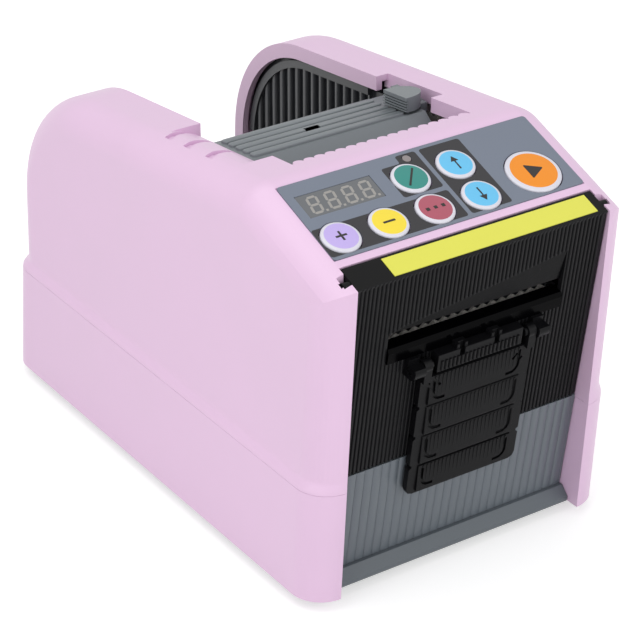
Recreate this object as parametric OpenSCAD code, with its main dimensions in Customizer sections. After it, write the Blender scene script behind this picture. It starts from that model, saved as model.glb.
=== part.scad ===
// Electric tape dispenser: feeds tape from a reel in the rear bay, cuts it to
// length behind the front cover and drops it on the hinged tray.
// Frame: +X right, +Y rear, +Z up, origin on the floor under the middle.

/* [Body] */
// Width over the lower housing
body_width = 125; // [120:1:135]
// Length from the front top edge to the foot of the rear wall
body_length = 218.5; // [212:0.5:240]
// Height of the front top edge above the housing's lower edge
front_height = 120.4; // [117:0.2:126]
// Height of the seam between the lower and the upper housing
seam_height = 43.5; // [38:0.5:50]
// Thickness of the moulded housing walls
wall = 2.4; // [1.8:0.1:2.8]
// Radius of the housing's outer long edges
edge_round = 12; // [9:0.5:13]
// How far the lower housing stands proud of the upper one at each side
skirt_step = 1.5; // [0.6:0.1:2.5]
// Lean of the front edges of the side walls, in degrees
front_lean = 4.2; // [2:0.1:5]

/* [Top outline] */
// Slope of the control panel, in degrees
panel_angle = 19.4; // [16:0.1:20.5]
// Distance of the crest behind the front edge
crest_y = 51; // [50:0.5:56]
// Fall of the top towards the rear, in degrees
top_fall = 6.7; // [4:0.1:7.5]
// Radius of the rounded rear of the cheeks
rear_round = 51.5; // [40:0.5:56]

/* [Tape bay] */
// Width of each cheek beside the tape bay, over the lower housing
cheek_width = 26.1; // [25:0.1:29]
// Depth of the lip that turns down round the bay
lip_depth = 5.5; // [3:0.1:8]
// Height of the sill of the bay's rear opening
rear_sill = 58; // [52:1:66]
// Pitch of the scallops and of the liner ribs
scallop_pitch = 4.2; // [3.5:0.1:6]
// Pitch of the upright ribs on the bay liners
liner_rib_pitch = 5.3; // [4:0.1:8]

/* [Front] */
// Width of each front side wall beside the cover
front_jamb = 12; // [10.5:0.5:13.5]
// Backward slope of the front cover, in degrees
cover_slope = 8.8; // [6:0.1:9.4]
// Height of the lower edge of the ribbed front cover
cover_bottom = 45; // [40:0.5:50]
// Pitch of the fine ribs on the front cover
cover_rib_pitch = 1.63; // [1.2:0.01:3]
// Pitch of the grooves on the lower front panel
groove_pitch = 3.5; // [2.5:0.1:6]
// Width of the hinged tape tray
tray_width = 45.5; // [38:0.5:54]
// Length of the hinged tape tray below its pins
tray_length = 54; // [40:1:60]

/* [Controls] */
// Radius of the small round keys
key_radius = 6.8; // [5:0.1:6.9]
// Radius of the large start key
start_radius = 9.8; // [8:0.1:10]
// Travel of the keys
key_travel = 0.8; // [0.4:0.1:1.2]

/* [Feed] */
// Radius of the rubber rings on the feed roller
feed_radius = 10.2; // [9:0.1:10.6]
// Radius of the press roller in the top cover
press_radius = 5; // [4:0.1:5.4]
// Radius of the roller and gear shafts
shaft_radius = 3; // [2.5:0.1:3.4]
// Teeth on the gear of the feed roller
gear_teeth = 36; // [34:1:38]
// Teeth on the feed motor's pinion
pinion_teeth = 12; // [10:1:14]
// Share of the tape bay's length that the reel's discs fill
disc_share = 0.5; // [0.4:0.05:0.55]
// Stroke of the moving blade
cut_stroke = 6; // [4:0.2:6.4]

/* [Fits] */
// Gap between pieces that move past each other
run_gap = 0.4; // [0.3:0.05:0.5]
// Radial clearance of a shaft in its bearing
shaft_gap = 0.05; // [0.02:0.01:0.08]
// Gap between fixed pieces that sit side by side
seat_gap = 0.3; // [0.1:0.05:0.4]
// Height of the rubber feet below the housing
foot_height = 4.5; // [3:0.5:8]

/* [Hidden] */
$fn = 48;
eps = 0.01;
half_body = body_width / 2;
half_upper = half_body - skirt_step;
half_bay = half_body - cheek_width;
half_front = half_body - front_jamb;

// Points and outward normals of the four edges of the side outline
crest_z = front_height + crest_y * tan(panel_angle);
flare = 5;                       // height of the upper housing's flared foot
skirt_rear_lean = 6.6;
skirt_rear_top = body_length - seam_height * tan(skirt_rear_lean);
rear_lean = 3;
rear_y = skirt_rear_top - 2.6;   // upper housing's rear face above the flare
rear_z = seam_height + flare;
crest_round = 14;

function n_front() = [-cos(front_lean), -sin(front_lean)];
function n_panel() = [-sin(panel_angle), cos(panel_angle)];
function n_top() = [sin(top_fall), cos(top_fall)];
function n_rear() = [cos(rear_lean), sin(rear_lean)];
function n_skirt() = [cos(skirt_rear_lean), sin(skirt_rear_lean)];

// Meeting point of the lines through p and q whose normals are m and n
function meet(p, m, q, n) =
    let (a = p * m, b = q * n, det = m[0] * n[1] - m[1] * n[0])
    [(a * n[1] - b * m[1]) / det, (b * m[0] - a * n[0]) / det];
function arc(c, r, a0, a1, steps) =
    [for (i = [0:steps]) let (a = a0 + (a1 - a0) * i / steps) c + r * [cos(a), sin(a)]];

front_p = [0, front_height];
crest_p = [crest_y, crest_z];
rear_p = [rear_y, rear_z];
crest_c = meet(front_p - crest_round * n_panel(), n_panel(),
               crest_p - crest_round * n_top(), n_top());
rear_c = meet(crest_p - rear_round * n_top(), n_top(),
              rear_p - rear_round * n_rear(), n_rear());

// Height of the sloping top and of the panel at a distance y from the front
function top_z(y) = crest_z - (y - crest_y) * tan(top_fall);
function panel_z(y) = front_height + y * tan(panel_angle);
function front_y(z) = (front_height - z) * tan(front_lean);
// Front face of the cover at height z
cover_top = front_height - 0.2;
cover_y = 0.6;
function cover_face(z) = cover_y + (cover_top - z) * tan(cover_slope);

// Side outline of the upper housing, inset by d and cut off level at height z
function side_points(d, z) = concat(
    [meet(front_p - d * n_front(), n_front(), [0, z], [0, 1])],
    [meet(front_p - d * n_front(), n_front(), front_p - d * n_panel(), n_panel())],
    arc(crest_c, crest_round - d, 90 + panel_angle, 90 - top_fall, 4),
    arc(rear_c, rear_round - d, 90 - top_fall, rear_lean, 16),
    [meet(rear_p - d * n_rear(), n_rear(), [0, z], [0, 1])]);
// Side outline of the lower housing between heights z0 and z1
function skirt_points(d, z0, z1) = [
    meet(front_p - d * n_front(), n_front(), [0, z0], [0, 1]),
    meet(front_p - d * n_front(), n_front(), [0, z1], [0, 1]),
    meet([body_length, 0] - d * n_skirt(), n_skirt(), [0, z1], [0, 1]),
    meet([body_length, 0] - d * n_skirt(), n_skirt(), [0, z0], [0, 1])];

// Moves the housing's own frame to the part's frame
module bench() { translate([0, -body_length / 2, foot_height]) children(); }
// Extrudes an outline drawn in Y and Z from x0 to x1
module along_x(x0, x1) {
    translate([x0, 0, 0]) rotate([90, 0, 90]) linear_extrude(x1 - x0) children();
}
// Round bar along X
module bar_x(r, x0, x1, y, z) {
    translate([x0, y, z]) rotate([0, 90, 0]) cylinder(r = r, h = x1 - x0);
}
module block(x, y, z) {
    translate([x[0], y[0], z[0]]) cube([x[1] - x[0], y[1] - y[0], z[1] - z[0]]);
}
module both_sides() { children(); mirror([1, 0, 0]) children(); }
// Places children on the sloping panel: X, distance up the slope, height
panel_start = cover_y + 10.13;
module on_panel() {
    translate([0, panel_start, panel_z(panel_start)]) rotate([panel_angle, 0, 0]) children();
}
// Places children on the leaning front face: X, up the slope, outwards
module on_front() {
    translate([0, cover_y, cover_top]) rotate([90 + cover_slope, 0, 0]) children();
}

// Solid with the side outline whose long edges are rounded by r
module upper_form(inset, z, half, r, steps) {
    hull() for (i = [0:steps]) let (a = 90 * i / steps, w = half - r * (1 - sin(a)))
        along_x(-w, w) polygon(side_points(inset + r * (1 - cos(a)), z));
}
module skirt_form(inset, z0, z1, half, r, steps) {
    hull() for (i = [0:steps]) let (a = 90 * i / steps, w = half - r * (1 - sin(a)))
        along_x(-w, w) polygon(skirt_points(inset + r * (1 - cos(a)), z0, z1));
}

// ---- Housing ----
housing_color = "#E6C5E2";
scallop_y = crest_y + 13.6;      // rear edge of the tongue behind the panel
feed_y = scallop_y + 31.4;       // axis of the feed roller
notch = [feed_y - 9.2, feed_y + 23.6];   // pocket in the right cheek for the latch
notch_depth = 5;
recess = [feed_y - 20, feed_y + 19.3];   // finger recess in the left cheek
recess_depth = 5;
hinge_y = 5.6;                   // pins of the front cover
hinge_z = front_height - 0.4;
hinge_r = 1.6;
return_depth = 34;               // depth of the inner skins of the side walls

module scallops() {
    count = floor(2 * half_bay / scallop_pitch);
    for (i = [0:count - 1])
        translate([(i - (count - 1) / 2) * scallop_pitch, scallop_y]) circle(scallop_pitch * 0.52);
}
module bay_cut() {
    difference() {
        translate([-half_bay, scallop_y]) square([2 * half_bay, body_length]);
        scallops();
    }
}
module upper_housing() {
    color(housing_color) bench() difference() {
        union() {
            difference() {
                union() {
                    upper_form(0, seam_height, half_upper, edge_round, 4);
                    hull() {
                        plan_slab(seam_height, half_body, skirt_rear_top);
                        plan_slab(rear_z - 0.2, half_upper, rear_y);
                    }
                }
                upper_form(wall, seam_height - 1, half_upper - wall, edge_round - wall, 3);
                translate([0, 0, seam_height]) linear_extrude(body_length) bay_cut();
            }
            // skins beside the front cover
            both_sides() intersection() {
                along_x(half_front, half_front + wall) polygon(side_points(wall / 2, seam_height));
                block([0, half_body], [-1, return_depth], [seam_height, crest_z]);
            }
            // lips round the tape bay
            both_sides() intersection() {
                along_x(half_bay, half_bay + wall) difference() {
                    polygon(side_points(wall / 2, seam_height));
                    polygon(side_points(lip_depth, rear_sill));
                }
                block([0, half_body], [scallop_y - 2, body_length], [rear_sill, crest_z]);
            }
            // lip behind the latch pocket
            intersection() {
                along_x(half_bay + notch_depth, half_bay + notch_depth + 1.2) difference() {
                    polygon(side_points(wall / 2, seam_height));
                    polygon(side_points(lip_depth, rear_sill));
                }
                block([0, half_body], [notch[0] - 2, notch[1] + 2], [rear_sill, crest_z]);
            }
            // floor of the finger recess
            intersection() {
                along_x(-half_bay - recess_depth - wall, -half_bay) difference() {
                    polygon(side_points(wall / 2, seam_height));
                    polygon(side_points(lip_depth + wall, rear_sill));
                }
                block([-half_body, 0], [recess[0] - wall, recess[1] + wall], [rear_sill, crest_z]);
            }
        }
        // mouth between the side walls, for the front cover and lower panel
        block([-half_front, half_front], [-5, panel_start], [0, 2 * crest_z]);
        block([-half_front, half_front], [-5, return_depth + 5], [0, front_height - 8]);
        on_panel() block([-half_front, half_front], [-8, 0], [-30, 5]);
        // rear opening above the sill
        block([-half_bay, half_bay], [scallop_y + 20, 2 * body_length], [rear_sill, crest_z]);
        // latch pocket
        block([0, half_bay + notch_depth], notch, [rear_sill, crest_z + 5]);
        // finger recess and its three curved grips
        intersection() {
            block([-half_bay - recess_depth, 0], recess, [rear_sill, crest_z + 5]);
            along_x(-half_body, 0) difference() {
                translate([recess[0] - 5, rear_sill]) square([recess[1] - recess[0] + 20, 100]);
                polygon(side_points(lip_depth, rear_sill - 1));
            }
        }
        for (i = [0:2]) let (y = recess[1] - 3.3 - 14 * i)
            translate([-half_bay - 13 + 1.5 * i, y, top_z(y) - 1.2])
            difference() {
                cylinder(r = 10, h = 10);
                translate([3, -3.5, -1]) cylinder(r = 11.5, h = 12);
                translate([-12, -12, -1]) cube([24, 12, 12]);
            }
        // seat of the keypad overlay, key holes and display window
        on_panel() {
            block(overlay_x, overlay_s, [-overlay_seat, 5]);
            for (k = keys) translate([k[1], k[2], -8]) cylinder(r = k[3] + run_gap, h = 12);
            block(window_x, window_s, [-8, 5]);
            translate([led_at[0], led_at[1], -8]) cylinder(r = led_r + seat_gap, h = 12);
        }
        // bores for the pins of the front cover, open to the front
        bar_x(hinge_r + shaft_gap, -half_front - wall - 1, half_front + wall + 1, hinge_y, hinge_z);
    }
}
// Level slab of the housing's plan outline at height z
module plan_slab(z, half, rear) {
    r = edge_round;
    x = half - r;
    translate([0, 0, z]) linear_extrude(0.2) polygon(concat(
        arc([x, rear - r], r, 0, 90, 5), arc([-x, rear - r], r, 90, 180, 5),
        arc([-x, front_y(z) + r], r, 180, 270, 5), arc([x, front_y(z) + r], r, 270, 360, 5)));
}
module lower_housing() {
    color(housing_color) bench() difference() {
        union() {
            difference() {
                skirt_form(0, 0, seam_height, half_body, edge_round, 4);
                skirt_form(wall, -1, seam_height + 1, half_body - wall, edge_round - wall, 3);
            }
            both_sides() intersection() {
                skirt_form(0, 0, seam_height, half_body, edge_round, 1);
                block([half_front, half_front + wall], [-1, return_depth], [0, seam_height]);
            }
        }
        block([-half_front, half_front], [-5, 40], [-1, seam_height + 1]);
        rear_cuts();
    }
}
// Openings in the rear wall for the power socket and the rocker switch
socket_x = 0.825 * half_bay;
rear_at = 17;                    // height of both on the rear wall
socket_r = 5.8;
switch_x = -0.715 * half_bay;
switch_w = 19.2;
switch_h = 12.9;
// Places children on the sloping rear wall: X, up the wall, outwards
module on_rear(x) {
    translate([x, body_length - rear_at * tan(skirt_rear_lean), rear_at])
        rotate([90 - skirt_rear_lean, 0, 180]) children();
}
module rear_cuts() {
    on_rear(socket_x) translate([0, 0, -10]) cylinder(r = socket_r + seat_gap, h = 20);
    on_rear(switch_x) block([-switch_w / 2, switch_w / 2], [-switch_h / 2, switch_h / 2], [-10, 10]);
}

// ---- Control panel ----
panel_share = half_front / 50.5; // sideways places on the panel grow with it
overlay_x = [-half_front + 0.2, half_front - 0.2];
overlay_s = [3, 38.7];
overlay_t = 0.8;
overlay_seat = 0.5;
window_x = [-47.1, -17.5] * panel_share;
window_s = [22.2, 32.8];
led_at = [-1 * panel_share, 35];
led_r = 1.5;
// Name, X, distance up the panel, radius and colour of each key
keys = [
    ["key_plus", -42.5 * panel_share, 11.3, key_radius, "#C9B5F5"],
    ["key_minus", -24 * panel_share, 11.2, key_radius, "#F5E04F"],
    ["key_select", -5.7 * panel_share, 11.1, key_radius, "#B5566A"],
    ["key_mode", -5.2 * panel_share, 26.3, key_radius, "#45B295"],
    ["key_up", 13.2 * panel_share, 26.6, key_radius, "#6CC9F7"],
    ["key_down", 12.8 * panel_share, 10.9, key_radius, "#6CC9F7"],
    ["key_start", 36.5 * panel_share, 13.9, start_radius, "#FBAA3C"]];
key_top = 1.2;
key_foot = 3.2;
board_n = [-8.2, -6.6];          // control board, measured from the panel's face
board_holes = [[-33 * panel_share, 6], [23.5 * panel_share, 16.5], [-44 * panel_share, 36],
               [44 * panel_share, 36]];
module keypad_overlay() {
    color("#7F8996") bench() on_panel() difference() {
        block([overlay_x[0] + 0.1, overlay_x[1] - 0.1], [overlay_s[0] + 0.1, overlay_s[1] - 0.1],
              [-overlay_seat, overlay_t - overlay_seat]);
        for (k = keys) translate([k[1], k[2], -5]) cylinder(r = k[3] + run_gap, h = 10);
        block([window_x[0] + 1, window_x[1] - 1], [window_s[0] + 1, window_s[1] - 1], [-5, 5]);
        translate([led_at[0], led_at[1], -5]) cylinder(r = led_r + seat_gap, h = 10);
    }
}
module key(i) {
    k = keys[i];
    color(k[4]) bench() on_panel() translate([k[1], k[2], 0]) {
        translate([0, 0, -key_foot]) cylinder(r = k[3], h = key_foot + key_top - 0.5);
        translate([0, 0, key_top - 0.5]) cylinder(r = k[3] - 0.5, h = 0.5);
    }
}
module display_lens() {
    color("#6A6E70") bench() on_panel()
        block([window_x[0] + 0.1, window_x[1] - 0.1], [window_s[0] + 0.1, window_s[1] - 0.1],
              [-1.7, -overlay_seat]);
}
module display_module() {
    color("#C9CBCB") bench() on_panel()
        block([window_x[0] + 0.3, window_x[1] - 0.3], [window_s[0] + 0.3, window_s[1] - 0.3],
              [board_n[1], -2]);
}
module indicator_led() {
    color("#8C8484") bench() on_panel() translate([led_at[0], led_at[1], board_n[1]])
        cylinder(r = led_r, h = 0.3 - board_n[1]);
}
module control_board() {
    color("#2E6B45") bench() on_panel() difference() {
        union() {
            block([overlay_x[0] + 3.3, overlay_x[1] - 3.3], [4, 38], board_n);
            for (k = keys) block([k[1] - 3, k[1] + 3], [k[2] - 3, k[2] + 3],
                                 [board_n[1] - eps, -key_foot - key_travel - 0.2]);
        }
        for (p = board_holes) translate([p[0], p[1], -10]) cylinder(r = 1.3, h = 5);
    }
}
module board_screws() {
    on_panel() for (p = board_holes)
        translate([p[0], p[1], 0]) {
            translate([0, 0, board_n[0] - 1.6]) cylinder(r = 2.4, h = 1.6);
            translate([0, 0, board_n[0]]) cylinder(r = 1.2, h = -wall - board_n[0]);
        }
}

// ---- Front ----
cover_t = 2.4;
cover_half = half_front - run_gap;
cover_len = (cover_top - cover_bottom) / cos(cover_slope);
window_top = cover_top - 11.2;
// Lower and upper edge of the slot for the tape
slot_z = [cover_top - 27, cover_top - 22.6];
tape_z = slot_z[0] + 1.3;        // tape at the cutter
// Outlet window on the front face: X and height of its corners
outlet_half = 35.4;
outlet_low = slot_z[0] - 6.2;
outlet = [[-outlet_half, outlet_low], [-outlet_half, window_top - 11],
          [-0.85 * outlet_half, window_top - 9.4], [-0.55 * outlet_half, window_top - 8],
          [-0.085 * outlet_half, window_top - 5.7], [0.39 * outlet_half, window_top - 3.3],
          [outlet_half, window_top], [outlet_half, outlet_low]];
function face_up(z) = -(cover_top - z) / cos(cover_slope);
module outlet_shape(grow) {
    offset_points = [for (p = outlet) [p[0] + sign(p[0]) * grow,
                                       face_up(p[1]) + (p[1] > slot_z[0] ? grow : -grow)]];
    polygon(offset_points);
}
// Roof of the front cover, from the front top edge to the control panel
label_edge = panel_start - run_gap;
label_top = panel_z(label_edge) - 0.3;
strip_t = 0.25;
glue_t = 0.01;                   // adhesive under the strip
function roof_z(y) = cover_top + (y - cover_y) * (label_top - cover_top) / (label_edge - cover_y);
module front_cover() {
    ribs = floor((2 * cover_half - 2) / cover_rib_pitch);
    color("#1E1F22") bench() {
        difference() {
            union() {
                // ribbed face
                on_front() block([-cover_half, cover_half], [-cover_len, 0], [-cover_t, 0]);
                // roof that carries the strip
                along_x(-cover_half, cover_half) polygon([
                    [cover_y, cover_top], [label_edge, label_top],
                    [label_edge + 0.4, label_top - 1.7], [cover_y + 1.6, cover_top - 3.2]]);
                // side flanges
                both_sides() along_x(cover_half - 2, cover_half) polygon([
                    [cover_y, cover_top], [label_edge, label_top],
                    [label_edge + 0.4, hinge_z - 3], [cover_face(cover_bottom) + 9, cover_bottom + 3],
                    [cover_face(cover_bottom), cover_bottom]]);
                // hinge pins
                both_sides() bar_x(hinge_r, cover_half - 3, half_front + wall, hinge_y, hinge_z);
            }
            on_front() translate([0, 0, -20]) linear_extrude(40) outlet_shape(0);
            on_front() for (i = [0:ribs - 1])
                block([(i - (ribs - 1) / 2) * cover_rib_pitch - 0.3,
                       (i - (ribs - 1) / 2) * cover_rib_pitch + 0.3],
                      [-cover_len - 1, -4], [-0.45, 1]);
        }
        tray_lugs();
    }
}
module label_strip() {
    y = [cover_y + 1.2, label_edge - 1];
    color("#E9EC4E") bench() along_x(-0.705 * cover_half, cover_half - 3.5) polygon([
        [y[0], roof_z(y[0]) + glue_t], [y[1], roof_z(y[1]) + glue_t],
        [y[1], roof_z(y[1]) + strip_t], [y[0], roof_z(y[0]) + strip_t]]);
}
// Dark plate that slopes back from the top of the outlet
module outlet_hood() {
    top = window_top - 0.3;
    low = slot_z[1];
    color("#3A3C40") bench() intersection() {
        along_x(-outlet_half, outlet_half) polygon([
            [cover_face(top) + 0.6, top], [cover_face(top) + 2.2, top],
            [cover_face(low) + 3.4, low], [cover_face(low) + 1.8, low]]);
        on_front() translate([0, 0, -20]) linear_extrude(40) outlet_shape(-0.05);
    }
}
// Smooth lip that guides the cut piece out
module outlet_lip() {
    low = outlet_low - 1;
    top = slot_z[0];
    color("#111214") bench() intersection() {
        along_x(-outlet_half, outlet_half) polygon([
            [cover_face(low) - 0.4, low], [cover_face(top - 2.2) - 0.6, top - 2.2],
            [cover_face(top) + 0.3, top - 0.5], [cover_face(top) + 5.2, top],
            [cover_face(top) + 6.2, top - 1.2], [cover_face(low) + 3, low]]);
        on_front() translate([0, 0, -20]) linear_extrude(40) outlet_shape(-0.05);
    }
}
// ---- Tape tray ----
tray_s = face_up(slot_z[0] - 9.7);          // place of the tray's pins on the front face
tray_n = 2.6;                    // their height above it
tray_pin_r = 1.5;
tray_half = tray_width / 2;
lug_r = 3.4;
lug_w = 4.4;
// Head of the front cover, and the lugs outside the tray that hold its pins
module tray_lugs() {
    x = tray_half + run_gap;
    on_front() both_sides() difference() {
        union() {
            translate([x, tray_s, tray_n]) rotate([0, 90, 0]) cylinder(r = lug_r, h = lug_w);
            block([x, x + lug_w], [tray_s - lug_r, tray_s + lug_r], [-1, tray_n]);
            // raised head between the tray's ears
            block([0, tray_half - 5.4], [tray_s - 3.4, face_up(outlet_low) - 0.1], [-1, 4.6]);
            block([0, tray_half - 5.4], [tray_s - 3.4, tray_s + 5.4], [1, 4.6]);
        }
        translate([x - 1, tray_s, tray_n]) rotate([0, 90, 0])
            cylinder(r = tray_pin_r + shaft_gap, h = tray_width);
    }
}
module tape_tray() {
    plate = [1, 3.4];
    raised = plate[1] + 0.8;
    steps = 4;
    groove = 0.8;
    step_len = (tray_length - 4) / steps;
    low = tray_s - tray_length;
    color("#17181A") bench() on_front() difference() {
        union() {
            block([-tray_half, tray_half], [low, tray_s - 4.6], plate);
            // stepped panels with grooves between them
            for (i = [0:steps - 1]) block(
                [-tray_half + 3.6, tray_half - 3.6],
                [low + (i == 0 ? 1 : i * step_len), low + (i + 1) * step_len - groove],
                [plate[0], raised]);
            // ears and pins
            both_sides() {
                translate([tray_half - 3, tray_s, tray_n]) rotate([0, 90, 0])
                    cylinder(r = 2.4, h = 3);
                block([tray_half - 3, tray_half], [tray_s - 6, tray_s], [plate[0], tray_n + 2.2]);
                translate([tray_half - 4, tray_s, tray_n]) rotate([0, 90, 0])
                    cylinder(r = tray_pin_r, h = 4 + lug_w);
            }
        }
        // curved grips at the ends of the steps
        for (i = [0:steps - 1], m = [0, 1]) mirror([m, 0, 0])
            translate([tray_half - 8.6, low + (i + 0.62) * step_len, plate[1]])
                difference() {
                    cylinder(r = 4.6, h = 3);
                    translate([0, 0, -1]) cylinder(r = 3.8, h = 5);
                    translate([-9, -6, -1]) cube([9, 14, 5]);
                }
    }
}
// ---- Lower panel and base ----
lip_y = 13.8;
lip_top = 5.4;
module front_lower_panel() {
    z0 = lip_top + 0.1;
    len = (cover_bottom - run_gap - z0) / cos(cover_slope);
    start = cover_len + run_gap / cos(cover_slope);
    count = floor((2 * half_front - 6) / groove_pitch);
    color("#6F777D") bench() on_front() difference() {
        union() {
            block([-cover_half, cover_half], [-start - len, -start], [-cover_t, 0]);
            both_sides() block([half_front - 4, half_front - run_gap], [-start - len, -start - 2],
                               [-9, -cover_t + eps]);
        }
        for (i = [0:count - 1])
            block([(i - (count - 1) / 2) * groove_pitch - 0.25,
                   (i - (count - 1) / 2) * groove_pitch + 0.25],
                  [-start - len - 1, -start + 1], [-0.4, 1]);
    }
}
base_z = [0.6, 3.2];
base_front = 13.2;
module base_tray() {
    inner = half_body - wall - seat_gap;
    color("#5E656B") bench() difference() {
        union() {
            intersection() {
                block([-inner, inner], [return_depth + seat_gap, body_length], base_z);
                skirt_form(wall + seat_gap, 0, 5, inner, edge_round - wall, 2);
            }
            block([-half_front + seat_gap, half_front - seat_gap], [base_front + 3, 60], base_z);
            along_x(-half_front + seat_gap, half_front - seat_gap) polygon([
                [lip_y + 0.4, 0], [lip_y, 0.8], [lip_y, 2], [lip_y + 3.2, lip_top],
                [lip_y + 5.5, lip_top], [lip_y + 5.5, 0]]);
        }
        for (p = foot_points) translate([p[0], p[1], -1]) cylinder(r = 1.6, h = 6);
    }
}
foot_points = [for (x = [-1, 1], y = [0, 1]) [x * (half_front - 12), y == 0 ? 27 : body_length - 22]];
foot_r = 7;
module feet() {
    color("#202124") bench() for (p = foot_points) translate([p[0], p[1], -foot_height])
        difference() {
            cylinder(r = foot_r, h = foot_height + base_z[0]);
            translate([0, 0, -1]) cylinder(r = 3.4, h = 4.8);
            cylinder(r = 1.6, h = 20);
        }
}
module foot_screws() {
    for (p = foot_points) translate([p[0], p[1], -foot_height + 2.2]) {
        cylinder(r = 3, h = 1.6);
        cylinder(r = 1.5, h = foot_height + base_z[1] - 2.2);
    }
}

// ---- Top cover over the feed rollers ----
cover_drop = 5.5;                // top cover's face below the cheeks
lid = [feed_y - 28.5, feed_y + 12];      // front and rear edge of the top cover
lid_half = half_bay - run_gap;
lid_hinge_y = feed_y - 25;
lid_hinge_z = top_z(lid_hinge_y) - 13.6;
lid_t = 2;
function lid_z(y) = top_z(y) - cover_drop;
press_z = lid_z(feed_y) - lid_t - 0.6 - press_radius;
feed_z = press_z - press_radius - seat_gap - feed_radius;
lid_bend = [feed_y - 21, feed_y - 12];   // foot and top of the cover's sloping front
lid_foot_z = lid_z(lid_bend[1]) - 6.5;
lid_slope = [[lid[0], lid_foot_z], [lid_bend[0], lid_foot_z], [lid_bend[1], lid_z(lid_bend[1])],
             [lid[1], lid_z(lid[1])]];
module top_cover() {
    ridges = [for (i = [-2:2]) feed_y + 4.5 * i];
    land = 30;                   // right edge of the ridged plateau
    color("#8A9094") bench() difference() {
        union() {
            along_x(-lid_half, lid_half) polygon([
                lid_slope[0], lid_slope[1], lid_slope[2], lid_slope[3],
                lid_slope[3] - [0, lid_t], lid_slope[2] - [-0.4, lid_t],
                lid_slope[1] - [0, lid_t], lid_slope[0] - [0, lid_t]]);
            for (y = ridges) along_x(-lid_half + 3, land - 2) polygon([
                [y - 1.6, lid_z(y) - 0.5], [y - 0.7, lid_z(y) + 0.8],
                [y + 0.7, lid_z(y) + 0.8], [y + 1.6, lid_z(y) - 0.5]]);
            // cheeks that carry the press roller and the hinge
            both_sides() along_x(lid_half - 2, lid_half) polygon([
                lid_slope[1] - [6, 1], lid_slope[1] - [0, 1], lid_slope[2] - [0, 1],
                lid_slope[3] - [2, 1], [feed_y + 6, press_z - 2.5], [feed_y - 6, press_z - 2.5],
                [lid_hinge_y + 3, lid_hinge_z - 2.6], [lid_hinge_y - 3, lid_hinge_z - 2.6]]);
            // ears for the latch pin
            for (y = latch_ears) {
                block([lid_half - 1, latch_pin_x], [y, y + 2], [latch_pin_z - 2.5, latch_pin_z + 2.5]);
                translate([latch_pin_x, y, latch_pin_z]) rotate([-90, 0, 0]) cylinder(r = 2.5, h = 2);
            }
        }
        // sight slot
        block([-7, -1], [feed_y - 1.8, feed_y + 0.2], [press_z + press_radius, crest_z + 5]);
        bar_x(1.5 + shaft_gap, -half_body, half_body, feed_y, press_z);
        bar_x(2 + shaft_gap, -half_body, half_body, lid_hinge_y, lid_hinge_z);
        translate([latch_pin_x, 0, latch_pin_z]) rotate([-90, 0, 0]) cylinder(r = latch_pin_r, h = 200);
    }
}
module top_cover_pin() {
    color("#C2C5C8") bench() bar_x(2, -frame_x[1], frame_x[1], lid_hinge_y, lid_hinge_z);
}
module press_roller() {
    start = -lid_half + 5;
    pitch = (-2 * start - 8) / 5;
    color("#3B3D40") bench() {
        bar_x(1.5, -lid_half + 0.2, lid_half - 0.2, feed_y, press_z);
        for (i = [0:5]) let (x = start + i * pitch)
            bar_x(press_radius, x, x + 0.74 * pitch, feed_y, press_z);
    }
}
// ---- Thumb latch at the right of the top cover ----
latch_y = [feed_y - 3, feed_y + 11];     // front and rear of the thumb pad
latch_ears = [feed_y - 3.6, feed_y + 9.6];
latch_pin_r = 1.2;
latch_pin_x = lid_half + 2.7;
latch_pin_z = lid_z(feed_y + 4) - 8;
latch_right = latch_pin_x - 0.5; // flat side of the pad
latch_top = 7.5;                 // pad above the top cover's face
module thumb_latch() {
    mid = (latch_y[0] + latch_y[1]) / 2;
    low = lid_z(latch_y[0]) + 0.9;
    pad_z = lid_z(mid) + latch_top;
    ribs = 5;
    color("#8A9094") bench() difference() {
        union() {
            intersection() {
                translate([latch_right - 1, mid, low]) cylinder(r = 7, h = pad_z - low);
                block([0, latch_right], [0, 200], [0, 200]);
            }
            // thumb ribs
            for (i = [0:ribs - 1]) intersection() {
                translate([latch_right - 1, mid, low + 0.4 + i * 1.1]) cylinder(r = 7.6, h = 0.55);
                block([0, latch_right - 1], [0, 200], [0, 200]);
            }
            // stem, knuckle and nose
            block([latch_right - 1.4, latch_pin_x + 0.9], [latch_ears[0] + 2.4, latch_ears[1] - 0.4],
                  [latch_pin_z - 6, low + 2]);
            translate([latch_pin_x, latch_ears[0] + 2.4, latch_pin_z]) rotate([-90, 0, 0])
                cylinder(r = 2.5, h = latch_ears[1] - latch_ears[0] - 2.8);
        }
        translate([latch_pin_x, 0, latch_pin_z]) rotate([-90, 0, 0])
            cylinder(r = latch_pin_r + shaft_gap, h = 200);
    }
}
module latch_pin() {
    color("#C2C5C8") bench() translate([latch_pin_x, latch_ears[0] - 0.6, latch_pin_z])
        rotate([-90, 0, 0]) cylinder(r = latch_pin_r, h = latch_ears[1] - latch_ears[0] + 3.2);
}

// ---- Tape bay ----
liner_x = [half_bay + 4.6, half_bay + 6.4];
liner_rib = 2.2;
reel_y = (lid[1] + rear_y) / 2 - 2.5;
reel_z = 66;
axle_r = 4;
liner_inset = wall + seat_gap;
module liner_outline(d) {
    intersection() {
        polygon(side_points(d, base_z[1] + seat_gap));
        translate([notch[1] + 3, 0]) square([body_length, 200]);
    }
    intersection() {
        polygon(side_points(max(d, lip_depth + wall + 0.5), base_z[1] + seat_gap));
        translate([lid[1] + 2, 0]) square([20, 200]);
    }
}
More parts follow.
